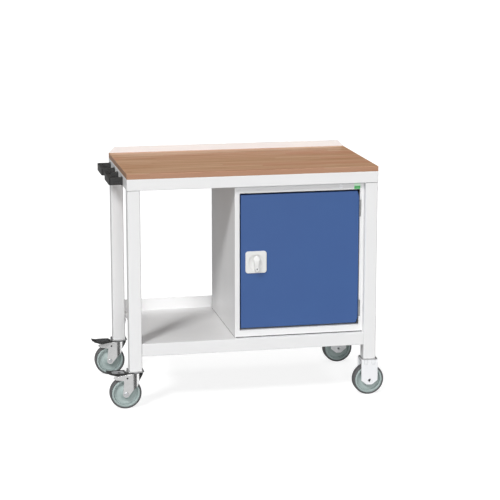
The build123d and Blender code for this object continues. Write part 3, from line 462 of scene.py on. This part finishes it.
def makeWood():
    # oiled board of glued staves: streaks run along X, every stave has its own tone
    look = woodLook
    material, tree, shader = newMaterial("beech_board")
    place = addNode(tree, "ShaderNodeTexCoord").outputs["Object"]
    parts = addNode(tree, "ShaderNodeSeparateXYZ")
    tree.links.new(place, parts.inputs[0])
    stave = mathNode(tree, "FLOOR", mathNode(tree, "DIVIDE", parts.outputs["Y"], look["staveWidth"]))
    shift = addNode(tree, "ShaderNodeTexWhiteNoise", noise_dimensions="1D")
    tree.links.new(stave, shift.inputs["W"])
    # the board's staves are cut into lengths, so the tone also changes along X
    along = mathNode(tree, "MULTIPLY", parts.outputs["X"], look["cutsPerMetre"])
    start = mathNode(tree, "MULTIPLY", shift.outputs["Value"], look["cutShift"])
    joined = addNode(tree, "ShaderNodeCombineXYZ")
    tree.links.new(stave, joined.inputs["X"])
    tree.links.new(mathNode(tree, "FLOOR", mathNode(tree, "ADD", along, start)), joined.inputs["Y"])
    tone = addNode(tree, "ShaderNodeTexWhiteNoise", noise_dimensions="3D")
    tree.links.new(joined.outputs[0], tone.inputs["Vector"])
    offset = addNode(tree, "ShaderNodeVectorMath", operation="MULTIPLY_ADD")
    tree.links.new(tone.outputs["Color"], offset.inputs[0])
    offset.inputs[1].default_value = (3.0, 1.0, 1.0)
    tree.links.new(place, offset.inputs[2])
    streaks = noiseNode(tree, offset.outputs[0], 3.2, 6.0, 0.62, stretch=(0.55, 16.0, 16.0))
    fine = noiseNode(tree, offset.outputs[0], 24.0, 4.0, 0.7, stretch=(0.8, 26.0, 26.0))
    color = mixColor(tree, rangeNode(tree, streaks, 0.40, 0.62), look["light"], look["dark"])
    pink = rangeNode(tree, tone.outputs["Value"], 0.35, 1.0, 0.0, look["pinkShare"])
    color = mixColor(tree, pink, color, look["pink"])
    color = mixColor(tree, rangeNode(tree, fine, 0.52, 0.78, 0.0, look["poreShare"]), color, look["pore"])
    joint = mathNode(tree, "PINGPONG", parts.outputs["Y"], look["staveWidth"] / 2)
    joint = mathNode(tree, "ABSOLUTE", joint)
    joint = rangeNode(tree, joint, 0.0, look["jointWidth"], look["jointShare"], 0.0)
    color = mixColor(tree, joint, color, look["joint"])
    # the front and end faces are painted darker than the top by the way they face: painted shade on the
    # front, and painted shade with the darker end grain on the ends
    facing = addNode(tree, "ShaderNodeSeparateXYZ")
    tree.links.new(addNode(tree, "ShaderNodeNewGeometry").outputs["Normal"], facing.inputs[0])
    for axis, label in (("Y", "front"), ("X", "side")):
        turned = mathNode(tree, "ABSOLUTE", facing.outputs[axis])
        share = rangeNode(tree, turned, 0.5, 0.9, 0.0, look[label + "Share"])
        color = mixColor(tree, share, color, look[label])
    tree.links.new(color, shader.inputs["Base Color"])
    rough = rangeNode(tree, fine, 0.3, 0.8, look["roughness"] - 0.06, look["roughness"] + 0.12)
    tree.links.new(rough, shader.inputs["Roughness"])
    edge = placeGroup(tree, "softEdge", Radius=look["edge"])
    bumpInto(tree, shader, fine, look["bump"], look["depth"], edge.outputs["Normal"])
    return material


materials = {}
for common, finishes in ((paintCommon, paintFinishes), (metalCommon, metalFinishes),
                         (plasticCommon, plasticFinishes)):
    for finish, look in finishes.items():
        materials[finish] = makeFinish(finish, {**common, **look})
materials["green_plastic"] = makeBadge()
materials["beech_board"] = makeWood()

# two nodes look brighter than their slot's finish
brighter = {"castor_top_plates": "plate_steel", "blanking_plug": "white_zinc"}
for node, piece in nodes.items():
    piece.data.materials.clear()
    piece.data.materials.append(materials[brighter.get(node, slotOf[node])])
print("materials made:", len(materials))


# mesh helpers
def looseObject(name, mesh):
    piece = bpy.data.objects.new(name, mesh)
    bpy.context.scene.collection.objects.link(piece)
    return piece


def newPiece(name, mesh, slot, body):
    piece = looseObject(name, mesh)
    mesh.materials.clear()
    mesh.materials.append(materials[slot])
    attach(piece, body)
    return piece


def closeMesh(name, build):
    mesh = bpy.data.meshes.new(name)
    build.normal_update()
    bmesh.ops.recalc_face_normals(build, faces=build.faces)
    build.to_mesh(mesh)
    build.free()
    return mesh


def joinLoops(build, first, second):
    # a band of faces between two closed loops of the same length
    count = len(first)
    for index in range(count):
        following = (index + 1) % count
        build.faces.new((first[index], first[following], second[following], second[index]))


def capLoops(build, loops):
    build.faces.new(loops[0])
    build.faces.new(list(reversed(loops[-1])))


def turnedMesh(name, profile, center, steps=96):
    # an outline of (radius, width) points turned about the Y axis
    build = bmesh.new()
    rings = []
    for radius, width in profile:
        ring = []
        for step in range(steps):
            angle = 2 * math.pi * step / steps
            across, up = radius * math.cos(angle), radius * math.sin(angle)
            ring.append(build.verts.new((center[0] + across, center[1] + width, center[2] + up)))
        rings.append(ring)
    for ring, following in zip(rings, rings[1:] + rings[:1]):
        joinLoops(build, ring, following)
    return closeMesh(name, build)


def arcPoints(cx, cy, radius, start, stop, steps):
    points = []
    for step in range(steps + 1):
        angle = math.radians(start + (stop - start) * step / steps)
        points.append((cx + radius * math.cos(angle), cy + radius * math.sin(angle)))
    return points


def roundedOutline(points, radius, steps=5):
    # every corner of an outline turned into a short arc
    result = []
    count = len(points)
    for index in range(count):
        before, here, after = (Vector(points[(index + step) % count]) for step in (-1, 0, 1))
        inward, outward = before - here, after - here
        # short sides keep a little straight between their two arcs
        reach = min(radius, inward.length * 0.45, outward.length * 0.45)
        start, stop = here + inward.normalized() * reach, here + outward.normalized() * reach
        for step in range(steps + 1):
            share = step / steps
            low, high = start.lerp(here, share), here.lerp(stop, share)
            result.append(tuple(low.lerp(high, share)))
    return result


def extrudedMesh(name, outline, low, high, axis="Y"):
    # a flat outline carried between two heights along one axis
    build = bmesh.new()
    loops = []
    for level in (low, high):
        loop = []
        for u, v in outline:
            place = {"Y": (u, level, v), "Z": (u, v, level), "X": (level, u, v)}[axis]
            loop.append(build.verts.new(place))
        loops.append(loop)
    joinLoops(build, *loops)
    capLoops(build, loops)
    return closeMesh(name, build)


def applyModifiers(piece):
    bpy.context.view_layer.update()
    graph = bpy.context.evaluated_depsgraph_get()
    mesh = bpy.data.meshes.new_from_object(piece.evaluated_get(graph))
    piece.modifiers.clear()
    old = piece.data
    piece.data = mesh
    bpy.data.meshes.remove(old)
    return piece


def combine(piece, others, operation="DIFFERENCE"):
    for other in others:
        modifier = piece.modifiers.new("combine", "BOOLEAN")
        modifier.operation = operation
        modifier.solver = "EXACT"
        modifier.object = other
    applyModifiers(piece)
    for other in others:
        bpy.data.objects.remove(other)


def roundEdges(piece, width, segments, angle):
    modifier = piece.modifiers.new("round", "BEVEL")
    modifier.width = width
    modifier.segments = segments
    modifier.limit_method = "ANGLE"
    modifier.angle_limit = math.radians(angle)
    applyModifiers(piece)


def smoothByAngle(piece, angle):
    for face in piece.data.polygons:
        face.use_smooth = True
    piece.data.set_sharp_from_angle(angle=math.radians(angle))


def smoothFlats(piece, angle):
    # smooth over the rounded edges, with the large faces kept flat
    smoothByAngle(piece, angle)
    modifier = piece.modifiers.new("flats", "WEIGHTED_NORMAL")
    modifier.keep_sharp = True
    modifier.weight = 90
    applyModifiers(piece)


wheel = {
    "treadGrooves": (-0.0085, 0.0, 0.0085),
    "grooveDepth": 0.0005,
    "grooveHalf": 0.0006,
    "shoulder": 0.0055,      # rounding between tread and side wall
    "wallRecess": 0.0006,
    "ringRadius": 0.0500,    # raised ring on the centre
    "grooveRadius": 0.0448,  # dark groove inside the ring
    "grooveDeep": 0.0095,
    "webDepth": 0.0105,
    "webStart": 0.0030,      # the web starts this far outside the cap
    "capDrop": 0.0052,
    "webFullness": 0.8,
    "hubRadius": 0.0130,
    "capRadius": 0.0165,
    "bore": 0.0062,
}


def tyreProfile(outer, rim, half):
    shoulder = wheel["shoulder"]
    right = arcPoints(outer - shoulder, half - shoulder, shoulder, 90, 0, 8)
    tread = []
    for place in reversed(wheel["treadGrooves"]):
        reach, depth = wheel["grooveHalf"], wheel["grooveDepth"]
        tread += [(outer, place + 2 * reach), (outer - depth, place + reach * 0.6),
                  (outer - depth, place - reach * 0.6), (outer, place - 2 * reach)]
    left = [(r, -w) for r, w in reversed(right)]
    bead = [(rim, -half + 0.002), (rim, half - 0.002)]
    wallRight = [(rim + 0.0010, half - wheel["wallRecess"]), (rim + 0.0022, half)]
    wallLeft = [(r, -w) for r, w in reversed(wallRight)]
    return wallRight + right + tread + left + wallLeft + bead


def wheelProfile(rim, half, hubHalf):
    bore, hub, cap, drop = wheel["bore"], wheel["hubRadius"], wheel["capRadius"], wheel["capDrop"]
    ring, groove, deep = wheel["ringRadius"], wheel["grooveRadius"], wheel["grooveDeep"]
    side = [(bore, hubHalf), (bore + 0.0008, hubHalf), (hub - 0.001, hubHalf), (hub, hubHalf - 0.001),
            (hub + 0.0006, half - 0.001), (cap, half - 0.0032), (cap + wheel["webStart"], half - drop)]
    # the dished web sweeps down and up again to the ring
    low, high = cap + wheel["webStart"], groove - 0.0006
    for step in range(1, 12):
        share = step / 12
        sag = math.sin(math.pi * share) ** wheel["webFullness"]
        side.append((low + (high - low) * share,
                     half - drop - (wheel["webDepth"] - drop) * sag - 0.0012 * share))
    side += [(groove, half - deep), (groove + 0.0014, half - deep), (groove + 0.0022, half - 0.0035),
             (groove + 0.0032, half - 0.0002), (ring - 0.0008, half + 0.0006),
             (ring + 0.0008, half + 0.0006), (rim - 0.0016, half - 0.0004),
             (rim - 0.0002, half - 0.0012), (rim - 0.0002, half - 0.0022)]
    return side + [(r, -w) for r, w in reversed(side)]


def makeWheel(kind, end):
    tyreNode, wheelNode = f"{kind}_tyre_{end}", f"{kind}_wheel_{end}"
    low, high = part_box(tyreNode)
    hubLow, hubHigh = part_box(wheelNode)
    center = (low + high) / 2
    outer, half = (high.z - low.z) / 2, (high.y - low.y) / 2
    rim = (hubHigh.z - hubLow.z) / 2
    hubHalf = (hubHigh.y - hubLow.y) / 2
    tyre = newPiece(f"tyre_{kind}_{end}", turnedMesh("tyre", tyreProfile(outer, rim, half), center),
                    "tyre_rubber", bodyOf[tyreNode])
    smoothByAngle(tyre, 40)
    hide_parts(tyreNode)
    disc = newPiece(f"wheel_{kind}_{end}", turnedMesh("wheel", wheelProfile(rim, half, hubHalf), center),
                    "wheel_plastic", bodyOf[wheelNode])
    smoothByAngle(disc, 40)
    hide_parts(wheelNode)


for castorKind in ("swivel", "fixed"):
    for castorEnd in ends:
        makeWheel(castorKind, castorEnd)
print("wheels turned")


pushHandle = {
    "arm": 0.020,
    "grip": 0.016,
    "outerCorner": 0.0095,
    "innerCorner": 0.0065,
    "edgeRound": 0.00176,
    "flangeThick": 0.0050,
    "flangeGrow": 0.0022,
    "flangeCorner": 0.003,
    "flangeRound": 0.0008,
    "slotHeight": 0.0075,
    "slotDepth": 0.0022,
    "slotDrop": 0.0025,             # below the middle of the arm
    "slotEnds": (0.0105, 0.0200),   # from the rail, from the outer face
}


def slotCutter(low, high):
    # a slot with round ends, cut along X into a side face
    radius = (high[2] - low[2]) / 2
    middle = (high[2] + low[2]) / 2
    outline = arcPoints(low[0] + radius, middle, radius, 90, 270, 8)
    outline += arcPoints(high[0] - radius, middle, radius, -90, 90, 8)
    return looseObject("slotCutter", extrudedMesh("slotCutter", outline, low[1], high[1], "Y"))


def makeBow(end):
    look = pushHandle
    node = f"push_handle_{end}"
    low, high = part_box(node)
    arm, grip, corner, inner = look["arm"], look["grip"], look["outerCorner"], look["innerCorner"]
    outline = [(high.x, low.y), (high.x, low.y + arm)]
    outline += arcPoints(low.x + grip + inner, low.y + arm + inner, inner, 270, 180, 6)
    outline += arcPoints(low.x + grip + inner, high.y - arm - inner, inner, 180, 90, 6)
    outline += [(high.x, high.y - arm), (high.x, high.y)]
    outline += arcPoints(low.x + corner, high.y - corner, corner, 90, 180, 8)
    outline += arcPoints(low.x + corner, low.y + corner, corner, 180, 270, 8)
    bow = newPiece(f"pushHandle_{end}", extrudedMesh("bow", outline, low.z, high.z, "Z"),
                   "black_plastic", "root")
    x0, x1 = low.x + look["slotEnds"][1], high.x - look["slotEnds"][0]
    middle = (low.z + high.z) / 2 - look["slotDrop"]
    half, depth = look["slotHeight"] / 2, look["slotDepth"]
    combine(bow, [slotCutter((x0, face - depth, middle - half), (x1, face + depth, middle + half))
                  for face in (low.y, low.y + arm, high.y - arm, high.y)])
    roundEdges(bow, look["edgeRound"], 3, 50)
    smoothFlats(bow, 40)
    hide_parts(node)


def makeFlange(end, label):
    # the wide foot where an arm of the handle meets the rail
    look = pushHandle
    low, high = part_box(f"push_handle_{end}")
    armLow = low.y if label == "near" else high.y - look["arm"]
    grow, corner = look["flangeGrow"], look["flangeCorner"]
    ya, yb, za, zb = armLow - grow, armLow + look["arm"] + grow, low.z - grow, high.z + grow
    plate = []
    for cy, cz, start in ((yb, zb, 0), (ya, zb, 90), (ya, za, 180), (yb, za, 270)):
        sideY, sideZ = (-1 if cy == yb else 1), (-1 if cz == zb else 1)
        plate += arcPoints(cy + sideY * corner, cz + sideZ * corner, corner, start, start + 90, 5)
    mesh = extrudedMesh("flange", plate, high.x - look["flangeThick"], high.x - 0.0001, "X")
    flange = newPiece(f"handleFlange_{end}_{label}", mesh, "black_plastic", "root")
    roundEdges(flange, look["flangeRound"], 2, 50)
    smoothFlats(flange, 40)


for handleEnd in ends:
    makeBow(handleEnd)
    makeFlange(handleEnd, "near")
    makeFlange(handleEnd, "far")
print("push handles moulded")


turnHandle = {
    "topRadius": 0.0142,
    "lowRadius": 0.0096,
    "waist": 0.0022,
    "edge": 0.0050,
    "stations": 44,
    "restStart": 0.56,       # share of the height where the thumb rest begins to fall away
    "restFall": 0.0095,
    "restCurve": 2.2,
    "plateGap": 0.0003,
    "boreRadius": 0.0081,
    "boreDepth": 0.0120,
    "collarRadius": 0.0094,
    "hub": ((0.0001, -0.0008), (0.0122, -0.0008), (0.0128, 0.0002), (0.0132, 0.0032), (0.0001, 0.0032)),
}


def wingHalfWidth(z, topZ, lowZ):
    top, low = turnHandle["topRadius"], turnHandle["lowRadius"]
    if z > topZ:
        return math.sqrt(max(top ** 2 - (z - topZ) ** 2, 0))
    if z < lowZ:
        return math.sqrt(max(low ** 2 - (z - lowZ) ** 2, 0))
    share = (z - lowZ) / (topZ - lowZ)
    return low + (top - low) * share - turnHandle["waist"] * math.sin(math.pi * share)


def wingRows(middle, frontY, backY, bottomZ, highZ):
    # cross sections of the wing, closer together towards its two ends
    look = turnHandle
    topZ, lowZ = highZ - look["topRadius"], bottomZ + look["lowRadius"]
    rows = []
    for index in range(look["stations"] + 1):
        share = (1 - math.cos(math.pi * index / look["stations"])) / 2
        z = bottomZ + 0.00006 + (highZ - bottomZ - 0.00012) * share
        half = wingHalfWidth(z, topZ, lowZ)
        fall = max((z - bottomZ) / (highZ - bottomZ) - look["restStart"], 0) / (1 - look["restStart"])
        front = frontY + look["restFall"] * fall ** look["restCurve"]
        swell = min(look["edge"], half * 0.95)
        row = [(middle - half, backY, z)]
        for side, start in ((-1, 180), (1, 270)):
            for x, y in arcPoints(0, 0, swell, start, start + 90, 7):
                row.append((middle + side * (half - swell) + x, front + swell + y, z))
        row.append((middle + half, backY, z))
        rows.append(row)
    return rows


def makeTurnHandle():
    look = turnHandle
    cylinder = middleOf("lock_cylinder")
    low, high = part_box("turn_handle")
    middle = (low.x + high.x) / 2
    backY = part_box("lock_escutcheon")[0].y - look["plateGap"]
    build = bmesh.new()
    rows = wingRows(middle, low.y, backY, low.z, high.z)
    loops = [[build.verts.new(point) for point in row] for row in rows]
    for first, second in zip(loops, loops[1:]):
        joinLoops(build, first, second)
    capLoops(build, loops)
    wing = newPiece("turnHandle", closeMesh("wing", build), "white_plastic", "door_handle")
    bore = [(0.0, -0.03), (look["boreRadius"], -0.03), (look["boreRadius"], 0.0), (0.0, 0.0)]
    bore = turnedMesh("bore", bore, (cylinder.x, low.y + look["boreDepth"], cylinder.z), 48)
    combine(wing, [looseObject("boreCutter", bore)])
    smoothByAngle(wing, 45)
    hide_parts("turn_handle")
    radius, inner = look["collarRadius"], look["boreRadius"] + 0.0001
    collar = [(inner, 0.0), (inner, -0.0009), (inner + 0.0004, -0.0013), (radius - 0.0002, -0.0012),
              (radius, -0.0006), (radius, 0.0010), (inner, 0.0010)]
    ring = turnedMesh("collar", collar, (cylinder.x, low.y, cylinder.z), 64)
    smoothByAngle(newPiece("lockCollar", ring, "white_plastic", "door_handle"), 40)
    disc = turnedMesh("hub", look["hub"], (middle, backY, middleOf("latch_spindle").z))
    smoothByAngle(newPiece("handleHub", disc, "white_plastic", "door_handle"), 40)


lockDish = {
    "inner": 0.0141,         # clear of the handle's boss
    "outer": 0.0306,
    "deep": 0.0034,
    "shallow": 0.0002,
    "steepness": 2.4,
    "steps": 22,
}


def makeLockDish():
    # the shallow bowl round the handle's boss, moulded into the plate
    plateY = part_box("lock_escutcheon")[0].y
    spindle = middleOf("latch_spindle")
    inner, outer, deep = lockDish["inner"], lockDish["outer"], lockDish["deep"]
    bowl = []
    for step in range(lockDish["steps"] + 1):
        share = step / lockDish["steps"]
        depth = deep - (deep - lockDish["shallow"]) * share ** lockDish["steepness"]
        bowl.append((inner + (outer - inner) * share, depth))
    bowl += [(outer, deep + 0.0002), (inner, deep + 0.0002)]
    ring = turnedMesh("lockDish", bowl, (spindle.x, plateY, spindle.z))
    smoothByAngle(newPiece("lockDish", ring, "white_plastic", "door"), 40)


makeTurnHandle()
makeLockDish()
print("turn handle shaped")


swivelFork = {
    "half": 0.0310,
    "sheet": 0.0030,
    "crownTop": 0.1447,
    "noseStart": -0.0170,    # where the sides start to turn in
    "noseFullness": 1.18,    # 1 is an ellipse, more is leaner
    "shoulder": 0.0042,      # rounding of the crown's top edge
    "low": 0.040,
    "tail": 0.100,
    "corner": 0.0035,
    "trail": 0.0400,         # the wheel's axle behind the swivel axis
    "axleHeight": 0.0625,
    "eyeRadius": 0.0130,
    "pinHole": 0.0036,
    "pinPlace": (-0.035, 0.127),
    "edge": 0.0007,
    "cheek": ((0.0325, 0.150), (0.0325, 0.139), (0.012, 0.112), (0.007, 0.094), (-0.013, 0.075)),
    "wing": ((-0.047, 0.117), (-0.080, 0.122), (-0.091, 0.130), (-0.088, 0.134), (-0.036, 0.1416),
             (-0.0312, 0.1422), (-0.0312, 0.150)),
}


def shellPlan(x, y, inset, tail):
    # straight sides that run into a long round nose
    half, back = swivelFork["half"] - inset, swivelFork["noseStart"]
    fullness = swivelFork["noseFullness"]
    nose = []
    for u, v in arcPoints(0, 0, 1.0, -90, 90, 48):
        across = math.copysign(abs(v) ** fullness, v)
        nose.append((x + back + (half - back) * abs(u) ** fullness, y + half * across))
    return [(x - tail, y - half)] + nose + [(x - tail, y + half)]


def makeSwivelFork(end):
    look = swivelFork
    node = f"swivel_fork_{end}"
    low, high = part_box(node)
    x, y = high.x - look["half"], (low.y + high.y) / 2
    sheet, foot, crown = look["sheet"], look["low"], look["crownTop"]
    shell = extrudedMesh("forkShell", shellPlan(x, y, 0.0, look["tail"]), foot, crown, "Z")
    outer = looseObject("forkShell", shell)
    roundEdges(outer, look["shoulder"], 5, 60)
    hollow = shellPlan(x, y, sheet, look["tail"] * 1.1)
    hollow = extrudedMesh("forkHollow", hollow, foot - 0.01, crown - sheet, "Z")
    inner = looseObject("forkHollow", hollow)
    roundEdges(inner, look["shoulder"] * 0.5, 3, 60)
    combine(outer, [inner])
    # the side view: cheek, the eye round the axle, and the wing that carries the brake
    side = roundedOutline(look["cheek"], look["corner"])[4:]
    side += arcPoints(-look["trail"], look["axleHeight"], look["eyeRadius"], -52, -188, 18)
    side += roundedOutline(look["wing"], look["corner"])[3:-3]
    reach = look["half"] + 0.004
    mask = extrudedMesh("forkOutline", [(x + px, pz) for px, pz in side], y - reach, y + reach)
    combine(outer, [looseObject("forkOutline", mask)], "INTERSECT")
    pinX, pinZ = look["pinPlace"]
    hole = [(0.0, -reach), (look["pinHole"], -reach), (look["pinHole"], reach), (0.0, reach)]
    hole = turnedMesh("pinHole", hole, (x + pinX, y, pinZ), 24)
    combine(outer, [looseObject("pinHole", hole)])
    roundEdges(outer, look["edge"], 2, 45)
    fork = newPiece(f"swivelFork_{end}", outer.data.copy(), "fork_zinc", bodyOf[node])
    bpy.data.objects.remove(outer)
    smoothFlats(fork, 32)
    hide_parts(node)


# x is measured back from the swivel axis, z from the floor
brakePedal = {
    "half": 0.0270,
    "root": -0.039,
    "side": ((-0.039, 0.1410), (-0.039, 0.1462), (-0.060, 0.1470), (-0.095, 0.1466), (-0.108, 0.1498),
             (-0.1148, 0.1530), (-0.1142, 0.1488), (-0.106, 0.1447), (-0.100, 0.1428), (-0.092, 0.1412)),
    "taper": (0.080, 0.012),         # where the tip starts to narrow, and by how much
    "railWidth": 0.0034,
    "tray": (-0.0440, -0.0950, 0.1445),
    "tread": (-0.0460, -0.0930, 0.0205),
    "treadLevel": (0.1442, 0.1458),
    "rivet": -0.066,
    "rivetRadius": 0.0042,
    "rivetLevel": (0.1450, 0.1476),
    "cam": ((-0.0470, 0.1405), (-0.0325, 0.1400), (-0.0325, 0.1462), (-0.0375, 0.1482), (-0.0450, 0.1482)),
}


def pedalCorners(x, y, near, far, wide, narrow):
    # a plan that narrows a little towards the tip
    return [(x + near, y - wide), (x + far, y - wide + narrow), (x + far, y + wide - narrow),
            (x + near, y + wide)]


def makeBrakePedal(end):
    look = brakePedal
    node, lever = f"brake_pedal_{end}", f"brake_lever_{end}"
    low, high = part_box(node)
    x, y = high.x - look["root"], (low.y + high.y) / 2
    half = look["half"]
    side = [(x + px, pz) for px, pz in roundedOutline(look["side"], 0.0016)]
    body = looseObject("pedalBody", extrudedMesh("pedalBody", side, y - half, y + half))
    start, narrow = look["taper"]
    plan = [(x - start, y - half - 0.001), (x - 0.030, y - half - 0.001), (x - 0.030, y + half + 0.001),
            (x - start, y + half + 0.001), (x - 0.116, y + half - narrow), (x - 0.116, y - half + narrow)]
    mask = extrudedMesh("pedalPlan", roundedOutline(plan, 0.006), 0.13, 0.17, "Z")
    combine(body, [looseObject("pedalPlan", mask)], "INTERSECT")
    # the tread sits in a shallow tray, so its sides stand up as rails
    near, far, floor = look["tray"]
    plan = roundedOutline(pedalCorners(x, y, near, far, half - look["railWidth"], 0.003), 0.004)
    combine(body, [looseObject("tray", extrudedMesh("tray", plan, floor, 0.16, "Z"))])
    roundEdges(body, 0.0006, 2, 40)
    pedal = newPiece(f"brakePedal_{end}", body.data.copy(), "black_plastic", bodyOf[node])
    bpy.data.objects.remove(body)
    smoothFlats(pedal, 35)
    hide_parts(node)
    near, far, wide = look["tread"]
    plan = roundedOutline(pedalCorners(x, y, near, far, wide, 0.002), 0.003)
    tread = newPiece(f"pedalTread_{end}", extrudedMesh("tread", plan, *look["treadLevel"], "Z"),
                     "zinc_steel", bodyOf[lever])
    roundEdges(tread, 0.0005, 2, 40)
    smoothFlats(tread, 35)
    plan = arcPoints(x + look["rivet"], y - wide * 0.45, look["rivetRadius"], 0, 345, 23)
    rivet = newPiece(f"pedalRivet_{end}", extrudedMesh("rivet", plan, *look["rivetLevel"], "Z"),
                     "dark_steel", bodyOf[lever])
    roundEdges(rivet, 0.0014, 4, 50)
    smoothByAngle(rivet, 50)
    side = roundedOutline([(x + px, pz) for px, pz in look["cam"]], 0.0016)
    cam = newPiece(f"brakeCam_{end}", extrudedMesh("cam", side, y - half + 0.001, y - half + 0.013),
                   "black_plastic", bodyOf[lever])
    roundEdges(cam, 0.0006, 2, 50)
    smoothFlats(cam, 50)


for castorEnd in ends:
    makeSwivelFork(castorEnd)
    makeBrakePedal(castorEnd)
print("swivel forks and brakes pressed")


forkRib = {
    "offset": 0.0155,        # each side of the fork's middle
    "radius": 0.0062,
    "low": 0.1345,
    "top": 0.1475,
    "proud": 0.0021,
    "line": 0.0013,          # width of the line round it
    "skin": 0.001,           # the fork's face behind the front of its box
}


def forkFaces(end):
    # the middle of a fixed fork, and its two faces with the way out of each
    low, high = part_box(f"fixed_fork_{end}")
    skin = forkRib["skin"]
    return (low.x + high.x) / 2, (("front", low.y + skin, -1), ("rear", high.y - skin, 1))


def makeForkRibs(end):
    x, faces = forkFaces(end)
    radius, foot, top, proud = forkRib["radius"], forkRib["low"], forkRib["top"], forkRib["proud"]
    for label, face, outward in faces:
        build = bmesh.new()
        for side in (-1, 1):
            middle = x + side * forkRib["offset"]
            outline = arcPoints(middle, foot, radius, 180, 360, 14)
            outline += [(middle + radius, top), (middle - radius, top)]
            rings = []
            # the rib rises steeply and rounds over, as its outline draws in
            for shrink, lift in ((0.0, -0.0004), (0.0, proud * 0.55), (0.0009, proud * 0.92),
                                 (0.0020, proud)):
                ring = []
                for px, pz in outline:
                    flat = Vector((px - middle, 0, min(pz - foot, 0)))
                    pull = flat.normalized() * shrink
                    ring.append(build.verts.new((px - pull.x, face + outward * lift, pz - pull.z)))
                rings.append(ring)
            for first, second in zip(rings, rings[1:]):
                joinLoops(build, first, second)
            capLoops(build, rings)
        ribs = newPiece(f"forkRibs_{end}_{label}", closeMesh("forkRibs", build), "white_zinc", "root")
        smoothFlats(ribs, 40)


def makeRibShadeLines(end):
    # a darker band painted round each rib: painted shade standing in for the rib's steep sides
    x, faces = forkFaces(end)
    foot, top = forkRib["low"], forkRib["top"]
    wide = forkRib["radius"] + forkRib["line"]
    for label, face, outward in faces:
        for side, sideName in ((-1, "left"), (1, "right")):
            middle = x + side * forkRib["offset"]
            outer = arcPoints(middle, foot, wide, 180, 360, 16)
            inner = arcPoints(middle, foot, forkRib["radius"] - 0.0002, 360, 180, 16)
            outline = [(middle - wide, top)] + outer + [(middle + wide, top), (inner[0][0], top)]
            outline += inner + [(inner[-1][0], top)]
            depths = sorted((face - outward * 0.0004, face + outward * 0.00025))
            line = newPiece(f"ribLine_{end}_{label}_{sideName}", extrudedMesh("ribShadeLine", outline, *depths),
                            "zinc_steel", "root")
            smoothByAngle(line, 40)


for castorEnd in ends:
    makeForkRibs(castorEnd)
    makeRibShadeLines(castorEnd)
print("fork ribs pressed")


# dark strips painted at the leg joints and under the cupboard: painted shade of the gaps there
paintedGapShade = {
    "height": 0.0010,
    "proud": 0.00012,
    "corner": 0.0040,
    "frontGap": 0.0034,
    "sideGap": 0.00204,
    "endGap": 0.002,
    "gapCorner": 0.0004,
}


def corners(lowA, highA, lowB, highB):
    return [(lowA, lowB), (highA, lowB), (highA, highB), (lowA, highB)]


def makeLegGapShades():
    # a thin dark strip painted round each leg where it meets the rails above it: painted shade of the
    # joint's gap
    grow = paintedGapShade["proud"]
    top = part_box("front_rail")[0].z
    for label in ("front_left", "rear_left", "front_right", "rear_right"):
        low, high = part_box(f"leg_{label}")
        plan = corners(low.x - grow, high.x + grow, low.y - grow, high.y + grow)
        plan = roundedOutline(plan, paintedGapShade["corner"])
        strip = extrudedMesh("legSeam", plan, top - paintedGapShade["height"], top, "Z")
        smoothByAngle(newPiece(f"legSeam_{label}", strip, "dark_steel", "root"), 40)


def makeCabinetGapShades():
    # a dark strip painted under the cupboard, in front and along its open side: painted shadow of the gap
    # there
    low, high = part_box("cabinet_floor")
    foot, inset = low.z + 0.0001, paintedGapShade["endGap"]
    for label, axis, lowEnd, highEnd, gap, face in (
            ("front", "Y", low.x + inset, high.x - inset, paintedGapShade["frontGap"], low.y),
            ("side", "X", low.y + inset, high.y - inset, paintedGapShade["sideGap"], low.x)):
        outline = roundedOutline(corners(lowEnd, highEnd, foot, low.z + gap), paintedGapShade["gapCorner"])
        strip = extrudedMesh(label + "Seam", outline, face - paintedGapShade["proud"], face + 0.0005, axis)
        smoothByAngle(newPiece(f"cabinetSeam_{label}", strip, "dark_steel", "root"), 40)


makeLegGapShades()
makeCabinetGapShades()
print("gapShades laid")


keywayShade = {"radius": 0.0020, "shift": 0.0016, "proud": 0.0001, "depth": 0.0010}


def makeKeywayShade():
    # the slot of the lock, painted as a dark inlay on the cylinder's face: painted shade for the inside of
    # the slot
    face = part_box("lock_cylinder")[0].y
    middle = middleOf("lock_cylinder")
    outline = arcPoints(middle.x, middle.z + keywayShade["shift"], keywayShade["radius"], 0, 180, 8)
    outline += arcPoints(middle.x, middle.z - keywayShade["shift"], keywayShade["radius"], 180, 360, 8)
    slot = extrudedMesh("keywayShade", outline, face - keywayShade["proud"], face + keywayShade["depth"])
    smoothByAngle(newPiece("keywayShade", slot, "dark_steel", "lock_core"), 40)


makeKeywayShade()
print("keyway cut")

# the frame's own pieces are shaded smooth round their folds and bends
for piece in nodes.values():
    smoothByAngle(piece, 28)
